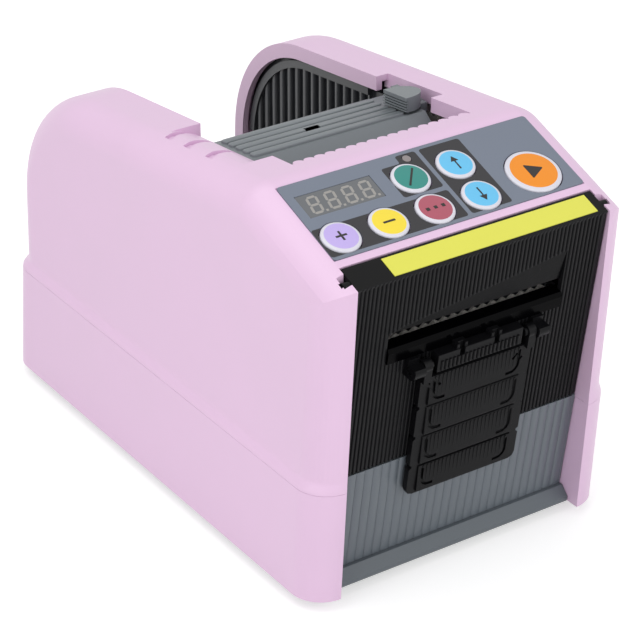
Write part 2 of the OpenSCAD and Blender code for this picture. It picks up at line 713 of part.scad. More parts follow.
// Slot that opens to the rear and holds one end of the reel axle
module axle_slot() {
    translate([0, reel_y, reel_z]) {
        bar_x(axle_r + seat_gap, -half_body, half_body, 0, 0);
        rotate([8, 0, 0]) block([-half_body, half_body], [0, 70],
                                [-axle_r - seat_gap, axle_r + seat_gap]);
    }
}
module liner() {
    count = floor((body_length - lid[1] - 12) / liner_rib_pitch);
    color("#4A4C50") bench() difference() {
        union() {
            along_x(liner_x[0], liner_x[1]) liner_outline(liner_inset + 1);
            along_x(liner_x[0] - liner_rib, liner_x[0] + eps) difference() {
                liner_outline(lip_depth + 1.5);
                polygon(side_points(lip_depth + 5, 0));
                square([2 * body_length, tub_floor + 6]);
            }
            for (i = [0:count - 1]) intersection() {
                block([liner_x[0] - liner_rib, liner_x[0] + eps],
                      [lid[1] + 8 + i * liner_rib_pitch, lid[1] + 10.6 + i * liner_rib_pitch],
                      [30, crest_z]);
                along_x(0, half_body) liner_outline(lip_depth + 4);
            }
        }
        axle_slot();
    }
}
module left_liner() { mirror([1, 0, 0]) liner(); }
module right_liner() { liner(); }
tub_floor = 26;
module bay_tub() {
    rear = tub_y[1] + 2;
    color("#35373A") bench() along_x(-liner_x[0] + liner_rib + seat_gap, liner_x[0] - liner_rib - seat_gap)
        polygon([[lid[1] + 3, lid_z(lid[1]) - 5], [lid[1] + 5, lid_z(lid[1]) - 5],
                 [tub_y[0], tub_floor + 6], [tub_y[0] + 6, tub_floor + 2], [rear - 8, tub_floor + 2],
                 [tub_y[1], tub_floor + 8], [tub_y[1], rear_sill - 1], [rear, rear_sill - 1],
                 [rear, tub_floor + 6], [rear - 6, tub_floor], [lid[1] + 13, tub_floor],
                 [lid[1] + 7, tub_floor + 5]]);
}
disc_t = 2;
tub_y = [lid[1] + 9, rear_y - wall - seat_gap - 2.6];    // inner ends of the bay
disc_radius = disc_share * (tub_y[1] - tub_y[0]) / 2;
core_r = 12.3;
reel_half = half_bay - 6.4;
axle_half = liner_x[1] - seat_gap;
module reel_axle() {
    color("#C2C5C8") bench() bar_x(axle_r, -axle_half, axle_half, reel_y, reel_z);
}
module reel_core() {
    color("#D9D6C8") bench() difference() {
        bar_x(core_r, -reel_half, reel_half, reel_y, reel_z);
        bar_x(axle_r + shaft_gap, -half_body, half_body, reel_y, reel_z);
    }
}
module reel_discs() {
    color("#D9D6C8") bench() for (x = [-reel_half - disc_t, reel_half]) difference() {
        bar_x(disc_radius, x, x + disc_t, reel_y, reel_z);
        bar_x(axle_r + shaft_gap, -half_body, half_body, reel_y, reel_z);
        for (a = [0:60:300]) bar_x(2.6, -half_body, half_body, reel_y + 0.7 * disc_radius * cos(a),
                                   reel_z + 0.7 * disc_radius * sin(a));
    }
}

// ---- Frame and feed ----
frame_x = [half_front - 6.5, half_front - 5];
frame_y = [19, feed_y + 10];
gear_m = 1;                      // gear module
gear_x = [frame_x[1] + 0.8, frame_x[1] + 4.8];
frame_screw_y = [40, feed_y - 6];
pinion_dist = gear_m * (gear_teeth + pinion_teeth) / 2;
pinion_angle = 215;
pinion_y = feed_y + pinion_dist * cos(pinion_angle);
pinion_z = feed_z + pinion_dist * sin(pinion_angle);
bush_r = shaft_radius + 2.5;
rod_at = [[30, 12], [feed_y + 2, 12], [feed_y - 14, 60]];
motor_r = pinion_dist - feed_radius - 1.4;
cutter_y = 18.5;                 // guide rods of the moving blade
plate_y = [25, 26.6];
plate_z = [tape_z - 44.5, tape_z - 8.5];
crank_z = tape_z - 28.5;
module frame_side() {
    difference() {
        union() {
            along_x(frame_x[0], frame_x[1]) polygon([
                [frame_y[0] + 6, base_z[1]], [frame_y[1], base_z[1]], [frame_y[1], feed_z + 9],
                [feed_y - 32, feed_z + 9], [feed_y - 40, rod_top + 4.5], [frame_y[0] + 12, rod_top + 4.5],
                [frame_y[0], rod_top - 1.5],
                [frame_y[0], 30], [frame_y[0] + 4, 14]]);
            along_x(frame_x[0] - 8, frame_x[1]) polygon([
                [32, base_z[1]], [frame_y[1] - 8, base_z[1]],
                [frame_y[1] - 8, base_z[1] + 1.5], [32, base_z[1] + 1.5]]);
            bar_x(6, frame_x[0], frame_x[1], lid_hinge_y, lid_hinge_z);
            block(frame_x, [lid_hinge_y - 6, lid_hinge_y + 6], [feed_z, lid_hinge_z]);
        }
        bar_x(bush_r, 0, half_body, feed_y, feed_z);
        bar_x(2 + shaft_gap, 0, half_body, lid_hinge_y, lid_hinge_z);
        for (r = rod_at) bar_x(1.6, 0, half_body, r[0], r[1]);
        for (y = frame_screw_y) translate([frame_x[0] - 4, y, 0]) cylinder(r = 1.6, h = 10);
    }
}
module left_frame() { color("#A9ADB1") bench() mirror([1, 0, 0]) frame_side(); }
module right_frame() {
    color("#A9ADB1") bench() difference() {
        frame_side();
        bar_x(6.2, 0, half_body, pinion_y, pinion_z);
        for (a = [45, 225]) bar_x(1.2, 0, half_body, pinion_y + 9 * cos(a), pinion_z + 9 * sin(a));
    }
}
module tie_rods() {
    color("#B9BCC0") bench() for (r = rod_at) {
        bar_x(3, -frame_x[0], frame_x[0], r[0], r[1]);
        both_sides() bar_x(1.5, frame_x[0] - eps, frame_x[1], r[0], r[1]);
        both_sides() bar_x(2.8, frame_x[1], frame_x[1] + 1.8, r[0], r[1]);
    }
}
module frame_screws() {
    both_sides() for (y = frame_screw_y) translate([frame_x[0] - 4, y, 0]) {
        translate([0, 0, base_z[1] + 1.5]) cylinder(r = 2.6, h = 1.5);
        translate([0, 0, base_z[1]]) cylinder(r = 1.5, h = 1.6);
    }
}
module bearings() {
    color("#B08D57") bench() both_sides() difference() {
        union() {
            bar_x(bush_r - 0.02, frame_x[0] - 1, frame_x[1], feed_y, feed_z);
            bar_x(bush_r + 1.2, frame_x[0] - 2, frame_x[0] - seat_gap, feed_y, feed_z);
        }
        bar_x(shaft_radius + shaft_gap, 0, half_body, feed_y, feed_z);
    }
}
module feed_shaft() {
    color("#C2C5C8") bench()
        bar_x(shaft_radius, -frame_x[1] - 1.5, gear_x[1] + 1.5, feed_y, feed_z);
}
module feed_roller() {
    color("#D8D8D2") bench() difference() {
        bar_x(feed_radius - 2.2, -blade_half, blade_half, feed_y, feed_z);
        bar_x(shaft_radius, -half_body, half_body, feed_y, feed_z);
    }
}
module roller_rings() {
    pitch = blade_half / 3;
    start = 3 - blade_half;
    color("#C8483E") bench() for (i = [0:5]) difference() {
        bar_x(feed_radius, start + i * pitch, start + (i + 0.5) * pitch, feed_y, feed_z);
        bar_x(feed_radius - 2.2, -half_body, half_body, feed_y, feed_z);
    }
}
// Spur gear drawn in Y and Z, with a tooth or a gap turned towards the other gear
module gear_shape(teeth, phase) {
    r = gear_m * teeth / 2;
    tip = r + 0.85 * gear_m;
    root = r - 1.15 * gear_m;
    step = 360 / teeth;
    polygon([for (i = [0:teeth - 1], c = [[root, -0.31], [tip, -0.13], [tip, 0.13], [root, 0.31]])
        let (a = phase + (i + c[1]) * step) c[0] * [cos(a), sin(a)]]);
}
module feed_gear() {
    color("#EDEBE2") bench() difference() {
        translate([0, feed_y, feed_z]) along_x(gear_x[0], gear_x[1])
            gear_shape(gear_teeth, pinion_angle);
        bar_x(shaft_radius, 0, half_body, feed_y, feed_z);
    }
}
module motor_pinion() {
    color("#C9A24A") bench() difference() {
        translate([0, pinion_y, pinion_z]) along_x(gear_x[0], gear_x[1])
            gear_shape(pinion_teeth, pinion_angle + 180 + 180 / pinion_teeth);
        bar_x(1.5 + shaft_gap, 0, half_body, pinion_y, pinion_z);
    }
}
module feed_motor() {
    color("#9A9DA1") bench() {
        bar_x(motor_r, -6, frame_x[0] - 0.2, pinion_y, pinion_z);
        bar_x(5.8, frame_x[0] - 0.3, frame_x[1], pinion_y, pinion_z);
        bar_x(1.5, frame_x[1] - 0.1, gear_x[1], pinion_y, pinion_z);
    }
}
// ---- Guides and cutter ----
blade_half = frame_x[0] - 8;
rod_foot = plate_z[0];
rod_top = tape_z + 7;
function path_z(y) = tape_z + (y - 18) * (feed_z + feed_radius - tape_z) / (feed_y - 18);
module guide_plate(y0, y1, off) {
    x = frame_x[0] - seat_gap;
    along_x(-x, x) polygon([[y0, path_z(y0) + off], [y1, path_z(y1) + off],
                            [y1, path_z(y1) + off + 1], [y0, path_z(y0) + off + 1]]);
}
module lower_guide() { color("#7D8084") bench() guide_plate(27.5, feed_y - 12, -2.5); }
module upper_guide() { color("#7D8084") bench() guide_plate(27.5, feed_y - 34, 2.2); }
module blade_bar() {
    color("#5A5D61") bench() difference() {
        block([-frame_x[0] + seat_gap, frame_x[0] - seat_gap], [16.6, 24.6],
              [tape_z + 3, tape_z + 11]);
        both_sides() translate([blade_half + 3, cutter_y, 0]) cylinder(r = 2, h = rod_top);
    }
}
module fixed_blade() {
    color("#C2C5C8") bench() difference() {
        block([-blade_half, blade_half], [15.4, 16.6], [tape_z + 1.5, tape_z + 11]);
        for (x = [-24, 24]) translate([x, 10, tape_z + 7]) rotate([-90, 0, 0]) cylinder(r = 1.6, h = 10);
    }
}
module moving_blade() {
    teeth = 18;
    pitch = 2 * blade_half / teeth;
    edge = tape_z - cut_stroke + 2.6;
    color("#C2C5C8") bench() translate([0, 15, 0]) rotate([90, 0, 0]) linear_extrude(1.1) difference() {
        polygon(concat([[blade_half, edge - 12], [-blade_half, edge - 12]],
            [for (i = [0:2 * teeth]) [-blade_half + i * pitch / 2, edge + (i % 2 == 0 ? -0.8 : 0.6)]]));
        for (x = [-24, 24]) translate([x, edge - 8]) circle(1.6);
    }
}
module blade_screws() {
    color("#8E9195") bench() for (x = [-24, 24]) translate([x, 0, 0]) {
        translate([0, 15.4, tape_z + 7]) rotate([90, 0, 0]) cylinder(r = 2.8, h = 1.2);
        translate([0, 16.6, tape_z + 7]) rotate([90, 0, 0]) cylinder(r = 1.5, h = 1.3);
    }
}
carrier_z = tape_z - cut_stroke - 9.4;
module blade_carrier() {
    color("#5A5D61") bench() difference() {
        union() {
            block([-blade_half - 6, blade_half + 6], [15, 21.4], [carrier_z - 3, carrier_z + 10]);
            block([-10, 10], [18.6, 20.8], [crank_z - 8.6, carrier_z]);
        }
        both_sides() translate([blade_half + 3, cutter_y, 0]) cylinder(r = 2 + shaft_gap, h = 200);
        block([-5.2, 5.2], [10, 30], [crank_z - cut_stroke / 2 - 2.5, crank_z - cut_stroke / 2 + 2.5]);
    }
}
module guide_rods() {
    color("#C2C5C8") bench() both_sides() translate([blade_half + 3, cutter_y, rod_foot])
        cylinder(r = 2, h = rod_top - rod_foot);
}
module cutter_plate() {
    color("#A9ADB1") bench() difference() {
        union() {
            block([-frame_x[0] + seat_gap, frame_x[0] - seat_gap], plate_y, plate_z);
            block([-frame_x[0] + seat_gap, frame_x[0] - seat_gap], [15.4, plate_y[0] + eps],
                  [plate_z[0], plate_z[0] + 5]);
        }
        translate([0, 0, crank_z]) rotate([-90, 0, 0]) cylinder(r = 5, h = 60);
        both_sides() translate([blade_half + 3, cutter_y, 0]) cylinder(r = 2, h = plate_z[1]);
    }
}
module cutter_motor() {
    color("#9A9DA1") bench() translate([0, plate_y[1], crank_z]) rotate([-90, 0, 0]) {
        cylinder(r = 14, h = 36);
        translate([0, 0, -1.8]) cylinder(r = 4.9, h = 2);
        translate([0, 0, -4.4]) cylinder(r = 1.5, h = 4);
    }
}
module cutter_crank() {
    color("#B08D57") bench() translate([0, 0, crank_z]) rotate([-90, 0, 0]) difference() {
        union() {
            translate([0, 0, 21.9]) cylinder(r = 7.6, h = 2.6);
            translate([0, cut_stroke / 2, 18.4]) cylinder(r = 1.5, h = 4);
        }
        translate([0, 0, 22.2]) cylinder(r = 1.5 + shaft_gap, h = 10);
    }
}
// ---- Electrical pieces ----
board_x = half_bay - 2;
board_y = [feed_y + 20, body_length - 32.5];
board_z = 10;
board_t = 1.6;
post_at = [for (x = [-1, 1], y = [board_y[0] + 3, board_y[1] - 3]) [x * (board_x - 3), y]];
module main_board() {
    top = board_z + board_t - eps;
    long = board_y[1] - board_y[0];
    color("#2E6B45") bench() difference() {
        union() {
            block([-board_x, board_x], board_y, [board_z, board_z + board_t]);
            // transformer, driver chip and terminal row, as shares of the board
            for (b = [[-0.87, -0.35, 0.1, 0.35, 9.5], [0.06, 0.46, 0.15, 0.32, 3.5],
                      [0.58, 0.81, 0.5, 0.86, 7.5]])
                block([b[0] * board_x, b[1] * board_x],
                      [board_y[0] + long * b[2], board_y[0] + long * b[3]], [top, top + b[4]]);
            for (x = [-0.7, -0.3], y = [0.6, 0.82]) translate([x * board_x, board_y[0] + y * long, top])
                cylinder(r = 5, h = 11);
        }
        for (p = post_at) translate([p[0], p[1], 0]) cylinder(r = 1.6, h = 30);
    }
}
module board_posts() {
    color("#B08D57") bench() for (p = post_at) translate([p[0], p[1], base_z[1]]) {
        cylinder(r = 3, h = board_z - base_z[1]);
        cylinder(r = 1.5, h = board_z + board_t + 1 - base_z[1]);
        translate([0, 0, board_z + board_t - base_z[1]]) cylinder(r = 2.6, h = 1.6);
    }
}
module screws() {
    color("#B9BCC0") bench() {
        foot_screws();
        frame_screws();
        board_screws();
    }
}
module power_socket() {
    color("#1B1C1E") bench() on_rear(socket_x) difference() {
        union() {
            translate([0, 0, -14]) cylinder(r = socket_r, h = 15.2);
            cylinder(r = socket_r + 1.8, h = 1.2);
        }
        difference() {
            translate([0, 0, -9]) cylinder(r = 3.2, h = 12);
            translate([0, 0, -10]) cylinder(r = 1.05, h = 10);
        }
    }
}
rocker_n = -2.5;                 // rocker's pivot below the rear face
module switch_bezel() {
    w = switch_w / 2;
    h = switch_h / 2;
    color("#1B1C1E") bench() on_rear(switch_x) difference() {
        union() {
            block([-w - 1.2, w + 1.2], [-h - 1.2, h + 1.2], [0, 1.2]);
            block([-w + 0.2, w - 0.2], [-h + 0.2, h - 0.2], [-13, 0.1]);
        }
        block([-w + 1.4, w - 1.4], [-h + 1.4, h - 1.4], [-9, 5]);
        translate([0, 0, rocker_n]) bar_x(1, -w + 0.6, w - 0.6, 0, 0);
    }
}
module switch_rocker() {
    w = switch_w / 2;
    h = switch_h / 2 - 2.2;
    color("#26282B") bench() on_rear(switch_x) translate([0, 0, rocker_n]) {
        along_x(-w + 1.8, w - 1.8)
            polygon([[-h, -1], [h, -1], [h, 4.6], [0, 3.2], [-h, 3.9]]);
        bar_x(0.95, -w + 0.7, w - 0.7, 0, 0);
    }
}

upper_housing();
lower_housing();
base_tray();
front_lower_panel();
front_cover();
label_strip();
outlet_hood();
outlet_lip();
tape_tray();
keypad_overlay();
key(0);  // key_plus
key(1);  // key_minus
key(2);  // key_select
key(3);  // key_mode
key(4);  // key_up
key(5);  // key_down
key(6);  // key_start
display_lens();
display_module();
indicator_led();
control_board();
top_cover();
top_cover_pin();
press_roller();
thumb_latch();
latch_pin();
left_liner();
right_liner();
bay_tub();
reel_axle();
reel_core();
reel_discs();
left_frame();
right_frame();
tie_rods();
screws();
bearings();
feed_shaft();
feed_roller();
roller_rings();
feed_gear();
motor_pinion();
feed_motor();
lower_guide();
upper_guide();
blade_bar();
fixed_blade();
moving_blade();
blade_screws();
blade_carrier();
guide_rods();
cutter_plate();
cutter_motor();
cutter_crank();
main_board();
board_posts();
feet();
power_socket();
switch_bezel();
switch_rocker();
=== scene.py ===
"""Looks of the electric tape dispenser: moulded housing, keypad, ribbed cover and trim.

Lengths in the part's own description are millimetres on the bench frame: X to the right,
Y from the front top edge to the rear, Z up from the housing's lower edge. row() turns them
into metres in the part's frame.
"""

import math

import bmesh
import bpy
from mathutils import Matrix, Vector


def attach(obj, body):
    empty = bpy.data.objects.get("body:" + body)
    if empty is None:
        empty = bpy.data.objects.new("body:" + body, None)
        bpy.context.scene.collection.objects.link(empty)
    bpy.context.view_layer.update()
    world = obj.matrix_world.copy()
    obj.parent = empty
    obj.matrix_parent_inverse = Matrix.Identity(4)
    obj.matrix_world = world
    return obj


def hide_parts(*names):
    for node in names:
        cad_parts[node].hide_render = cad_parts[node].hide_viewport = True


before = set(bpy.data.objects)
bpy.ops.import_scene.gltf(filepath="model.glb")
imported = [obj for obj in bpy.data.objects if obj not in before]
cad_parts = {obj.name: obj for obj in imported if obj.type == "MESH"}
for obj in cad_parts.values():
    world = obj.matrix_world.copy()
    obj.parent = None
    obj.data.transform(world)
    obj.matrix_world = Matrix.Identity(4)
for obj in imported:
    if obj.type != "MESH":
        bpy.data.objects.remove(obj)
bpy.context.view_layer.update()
MM = 0.001

# ---------------------------------------------------------------- sizes
BODY_LENGTH = 218.5                 # at the housing's lower edge
FOOT = 4.5                          # height of the feet
HALF_BODY = 62.5                    # half width at the seam
HALF_UPPER = 61.0                   # half width above the flare
FRONT_HEIGHT = 120.4                # front top edge
SEAM = 43.5                         # joint between the two shells
WALL = 2.4
EDGE = 12.0                         # radius of the long edges
FRONT_LEAN = 4.2                    # leans and slopes are in degrees
PANEL_ANGLE = 19.4                  # slope of the control panel
CREST_Y = 51.0                      # where the control panel meets the top
TOP_FALL = 6.7                      # fall of the top towards the rear
CREST_ROUND = 14.0
REAR_ROUND = 51.5
REAR_LEAN = 3.0
SKIRT_LEAN = 6.6
FLARE = 5.0                         # height of the flare above the seam
FLARE_STEPS = 6
SEAM_GAP = 0.05                     # half the joint line between the shells
SLIVER = 0.02                       # keeps two faces from lying in one plane
HALF_BAY = 36.4                     # half width of the tape bay
HALF_FRONT = 50.5                   # half width of the front cover's mouth
LIP = 5.5                           # depth of the lips round the bay
REAR_SILL = 58.0                    # lower edge of the bay's rear opening
SOCKET_Z = 17                       # height of the power socket and the switch
SCALLOP_PITCH = 4.2
SCALLOP_Y = CREST_Y + 7.4           # scalloped front edge of the bay
FEED_Y = CREST_Y + 45.0             # axis of the feed roller
POCKET = 5.0                        # width of the latch notch, and depth of the finger recess
NOTCH = (FEED_Y - 14.9, FEED_Y + 17.9)     # latch notch, front and rear
RECESS = (FEED_Y - 25.9, FEED_Y + 19.3)    # finger recess, front and rear
DISH_X = -50.0                      # where the finger recess begins to fall towards the bay
GRIPS = (112.6, 100.6, 86.6)        # rear edges of the three crescent grips
GRIP_X = -52.3                      # outer tip of the grips
GRIP_LENGTH = 16.9
GRIP_BACK = -53.4                   # outer end of the wall behind them
RETURN = 34.0                       # depth of the cheeks' inner skins
COVER_Y = 0.6                       # front cover: its top front corner, slope and lower edge
COVER_TOP = FRONT_HEIGHT - 0.2
COVER_SLOPE = 8.8
COVER_BOTTOM = 45.0
PANEL_FOOT = 5.5                    # lower edge of the grooved panel below the cover
SLAT_PITCH = 3.5                    # its grooves
PANEL_START = COVER_Y + 10.13       # front edge of the control panel
HINGE = (5.6, FRONT_HEIGHT - 0.4, 1.6)     # cover's hinge: Y, Z and pin radius
LINER_START = FEED_Y + 26.6         # liners of the bay: front edge, thickness in X, ribs
LINER_X = (HALF_BAY + 4.6, HALF_BAY + 6.4)
LINER_RIB = 2.2
LINER_PITCH = 5.3
LID_REAR = FEED_Y + 12              # rear edge of the top cover
RIB_PITCH = 1.63                    # fine ribs of the front cover and the tray

# On the control panel, X is as elsewhere and S is the distance up the slope.
OVERLAY_S = (3.0, 38.7)             # seat of the keypad film
OVERLAY_T = 0.3                     # film's face above the panel
KEY_AT = [("plus", -42.5, 11.3, 6.8), ("minus", -24, 11.2, 6.8), ("select", -5.7, 11.1, 6.8),
          ("mode", -5.2, 26.3, 6.8), ("up", 13.2, 26.6, 6.8), ("down", 12.8, 10.9, 6.8),
          ("start", 36.5, 13.9, 9.8)]      # name, X, S and radius
KEY_GAP = 0.4                       # round each key
KEY_TOP = 1.2
KEY_FOOT = -3.2
WINDOW_X = (-47.1, -17.5)
WINDOW_S = (22.2, 32.8)
LED_AT = (-1.0, 35.0)
LED_HOLE = 1.8
DIGIT_AT = (-44.9, 23.4)            # lower left corner of the first digit
DIGIT_PITCH = 6.75

# Reach of the blocks that cut, well past the housing
WIDE = (-90, 90)
ABOVE = 200
BEYOND = 400

# Finish of the meshes
ROUND_STEPS = 12
SHARP = 35                          # degrees between faces, past which an edge is kept sharp
MERGE = 0.00001                     # metres, below which two points are one


# Angles are in degrees.
def tan(deg):
    return math.tan(math.radians(deg))


def cos(deg):
    return math.cos(math.radians(deg))


def sin(deg):
    return math.sin(math.radians(deg))


CREST_Z = FRONT_HEIGHT + CREST_Y * tan(PANEL_ANGLE)
SKIRT_REAR_TOP = BODY_LENGTH - SEAM * tan(SKIRT_LEAN)
REAR_Y = SKIRT_REAR_TOP - 2.6
REAR_Z = SEAM + FLARE


def row(p):
    """Place in the part's frame of a point on the bench frame."""
    return Vector((p[0] * MM, (p[1] - BODY_LENGTH / 2) * MM, (p[2] + FOOT) * MM))


def normal(angle):
    """Unit normal of a wall that leans by an angle."""
    return (cos(angle), sin(angle))


def meet(p, m, q, n):
    """Meeting point of the lines through p and q whose normals are m and n."""
    a = p[0] * m[0] + p[1] * m[1]
    b = q[0] * n[0] + q[1] * n[1]
    det = m[0] * n[1] - m[1] * n[0]
    return ((a * n[1] - b * m[1]) / det, (b * m[0] - a * n[0]) / det)


def arc(centre, r, start, end, steps):
    """Points round a centre between two angles."""
    angles = [start + (end - start) * i / steps for i in range(steps + 1)]
    return [(centre[0] + r * cos(a), centre[1] + r * sin(a)) for a in angles]


def circle(x, y, r, steps=48):
    """Points of a full circle."""
    return arc((x, y), r, 0, 360 - 360 / steps, steps - 1)


def box_outline(x, y):
    """Corners of a rectangle from its two spans."""
    return [(x[0], y[0]), (x[1], y[0]), (x[1], y[1]), (x[0], y[1])]


def turned(points, angle, at):
    """Points turned about the origin and then moved."""
    return [(at[0] + p * cos(angle) - q * sin(angle), at[1] + p * sin(angle) + q * cos(angle))
            for p, q in points]


N_FRONT = (-cos(FRONT_LEAN), -sin(FRONT_LEAN))
N_PANEL = (-sin(PANEL_ANGLE), cos(PANEL_ANGLE))
N_TOP = (sin(TOP_FALL), cos(TOP_FALL))
N_REAR = normal(REAR_LEAN)
N_SKIRT = normal(SKIRT_LEAN)
FRONT_P = (0.0, FRONT_HEIGHT)
CREST_P = (CREST_Y, CREST_Z)
REAR_P = (REAR_Y, REAR_Z)


def back(p, n, d):
    """Point moved by d against a normal."""
    return (p[0] - d * n[0], p[1] - d * n[1])


CREST_C = meet(back(FRONT_P, N_PANEL, CREST_ROUND), N_PANEL, back(CREST_P, N_TOP, CREST_ROUND), N_TOP)
REAR_C = meet(back(CREST_P, N_TOP, REAR_ROUND), N_TOP, back(REAR_P, N_REAR, REAR_ROUND), N_REAR)


def top_z(y):
    """Height of the housing's top behind the crest."""
    return CREST_Z - (y - CREST_Y) * tan(TOP_FALL)


def lid_z(y):
    """Height of the top cover's face, which lies below the housing's top."""
    return top_z(y) - 5.5


def panel_z(y):
    """Height of the control panel."""
    return FRONT_HEIGHT + y * tan(PANEL_ANGLE)


def front_y(z):
    """Y of the housing's front at a height."""
    return (FRONT_HEIGHT - z) * tan(FRONT_LEAN)


def side_points(d, z):
    """Side outline of the upper housing, inset by d and cut off level at height z."""
    level = (0.0, z)
    front = back(FRONT_P, N_FRONT, d)
    return ([meet(front, N_FRONT, level, (0, 1)), meet(front, N_FRONT, back(FRONT_P, N_PANEL, d), N_PANEL)]
            + arc(CREST_C, CREST_ROUND - d, 90 + PANEL_ANGLE, 90 - TOP_FALL, 8)
            + arc(REAR_C, REAR_ROUND - d, 90 - TOP_FALL, REAR_LEAN, 28)
            + [meet(back(REAR_P, N_REAR, d), N_REAR, level, (0, 1))])


def skirt_points(d, z0, z1):
    """Side outline of the lower housing, inset by d, between two heights."""
    front = back(FRONT_P, N_FRONT, d)
    rear = back((BODY_LENGTH, 0.0), N_SKIRT, d)
    return [meet(front, N_FRONT, (0, z0), (0, 1)), meet(front, N_FRONT, (0, z1), (0, 1)),
            meet(rear, N_SKIRT, (0, z1), (0, 1)), meet(rear, N_SKIRT, (0, z0), (0, 1))]


# ---------------------------------------------------------------- mesh helpers
def new_object(name, data):
    """Object at the origin, linked to the scene."""
    obj = bpy.data.objects.new(name, data)
    bpy.context.scene.collection.objects.link(obj)
    return obj


def discard(obj):
    """Removes an object, and its mesh where nothing else uses it."""
    mesh = obj.data
    bpy.data.objects.remove(obj)
    if mesh.users == 0:
        bpy.data.meshes.remove(mesh)


def mesh_object(name, verts, faces, place=row):
    """Object from points on the bench frame."""
    mesh = bpy.data.meshes.new(name)
    mesh.from_pydata([place(v) for v in verts], [], faces)
    tidy(mesh)
    return new_object(name, mesh)


def tidy(mesh):
    """Joins points that coincide and turns the faces outwards."""
    bm = bmesh.new()
    bm.from_mesh(mesh)
    bmesh.ops.remove_doubles(bm, verts=bm.verts, dist=MERGE)
    bmesh.ops.recalc_face_normals(bm, faces=bm.faces)
    bm.to_mesh(mesh)
    bm.free()
    mesh.update()


def loft(name, rings, place=row):
    """Closed solid through rings of equally many points, capped at both ends."""
    n = len(rings[0])
    verts = [p for ring in rings for p in ring]
    faces = [(k * n + i, k * n + (i + 1) % n, (k + 1) * n + (i + 1) % n, (k + 1) * n + i)
             for k in range(len(rings) - 1) for i in range(n)]
    faces.append(tuple(range(n))[::-1])
    faces.append(tuple((len(rings) - 1) * n + i for i in range(n)))
    return mesh_object(name, verts, faces, place)


def along_x(name, x0, x1, points, place=row):
    """Solid with one side outline from x0 to x1."""
    return loft(name, [[(x, p[0], p[1]) for p in points] for x in (x0, x1)], place)


def block(name, x, y, z, place=row):
    """Box from its three spans."""
    return along_x(name, x[0], x[1], box_outline(y, z), place)


def bar_x(name, r, x0, x1, y, z):
    """Round bar from side to side."""
    return along_x(name, x0, x1, circle(y, z, r, 32))


def bar_y(name, r, x, ends, z, steps=36, place=row):
    """Round bar from front to rear."""
    return loft(name, [[(q[0], y, q[1]) for q in circle(x, z, r, steps)] for y in ends], place)


def prism(name, outline, heights, place=row):
    """Slab of a flat outline between two heights."""
    return loft(name, [[(q[0], q[1], h) for q in outline] for h in heights], place)


def combine(a, b, how="DIFFERENCE"):
    """Boolean of a with b, in place; b is used up."""
    mod = a.modifiers.new("combine", "BOOLEAN")
    mod.operation = how
    mod.object = b
    mod.solver = "MANIFOLD"
    flatten(a)
    discard(b)
    return a


def flatten(obj):
    """Applies an object's modifiers to its mesh."""
    dg = bpy.context.evaluated_depsgraph_get()
    mesh = bpy.data.meshes.new_from_object(obj.evaluated_get(dg))
    obj.modifiers.clear()
    old = obj.data
    obj.data = mesh
    mesh.name = obj.name
    bpy.data.meshes.remove(old)
    return obj


def join(name, parts):
    """One object from several, keeping their materials."""
    bm = bmesh.new()
    slots = []
    for part in parts:
        mesh = part.data
        start = len(bm.faces)
        bm.from_mesh(mesh)
        bm.faces.ensure_lookup_table()
        for face in bm.faces[start:]:
            mat = mesh.materials[face.material_index] if mesh.materials else None
            if mat not in slots:
                slots.append(mat)
            face.material_index = slots.index(mat)
    mesh = bpy.data.meshes.new(name)
    bm.to_mesh(mesh)
    bm.free()
    for mat in slots:
        mesh.materials.append(mat)
    for part in parts:
        discard(part)
    return new_object(name, mesh)


def soften(obj, width, segments=2):
    """Rounds the sharp edges and shades the faces smooth between them."""
    mod = obj.modifiers.new("soften", "BEVEL")
    mod.width = width * MM
    mod.segments = segments
    mod.limit_method = "ANGLE"
    mod.angle_limit = math.radians(SHARP)
    mod.use_clamp_overlap = True
    smooth(flatten(obj))
    even = obj.modifiers.new("even", "WEIGHTED_NORMAL")
    even.keep_sharp = True
    return flatten(obj)


def smooth(obj, angle=SHARP):
    """Shades smooth across all edges that turn by less than an angle."""
    obj.data.shade_smooth()
    obj.data.set_sharp_from_angle(angle=math.radians(angle))
    return obj


def paint(obj, mat):
    """Gives an object one material."""
    obj.data.materials.clear()
    obj.data.materials.append(mat)
    return obj


def stand_for(obj, body, slot, *nodes):
    """Ties a finished piece to its body and hides the plain nodes it is shown for; slot is not used."""
    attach(obj, body)
    if nodes:
        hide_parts(*nodes)
    return obj


# ---------------------------------------------------------------- materials
def linear(text):
    """Linear colour of an sRGB hex value."""
    parts = [int(text[i:i + 2], 16) / 255 for i in (1, 3, 5)]
    return tuple(c / 12.92 if c <= 0.04045 else ((c + 0.055) / 1.055) ** 2.4 for c in parts) + (1.0,)


def add(tree, kind, settings=None, **links):
    """Adds a node, sets its properties or input values, and links named inputs to sockets."""
    node = tree.nodes.new(kind)
    for key, value in (settings or {}).items():
        if isinstance(key, int) or key in node.inputs.keys():
            node.inputs[key].default_value = value
        else:
            setattr(node, key, value)
    for key, socket in links.items():
        name = key.replace("_", " ")
        if name in node.inputs.keys():
            tree.links.new(socket, node.inputs[name])
        else:
            tree.links.new(socket, node.inputs[int(key.strip("i"))])
    return node


def new_material(name):
    """Empty material: its tree, its shader and the place on the object that patterns read."""
    mat = bpy.data.materials.new(name)
    mat.use_nodes = True
    tree = mat.node_tree
    tree.nodes.clear()
    shader = add(tree, "ShaderNodeBsdfPrincipled")
    out = add(tree, "ShaderNodeOutputMaterial")
    tree.links.new(shader.outputs["BSDF"], out.inputs["Surface"])
    place = add(tree, "ShaderNodeTexCoord").outputs["Object"]
    return mat, tree, shader, place


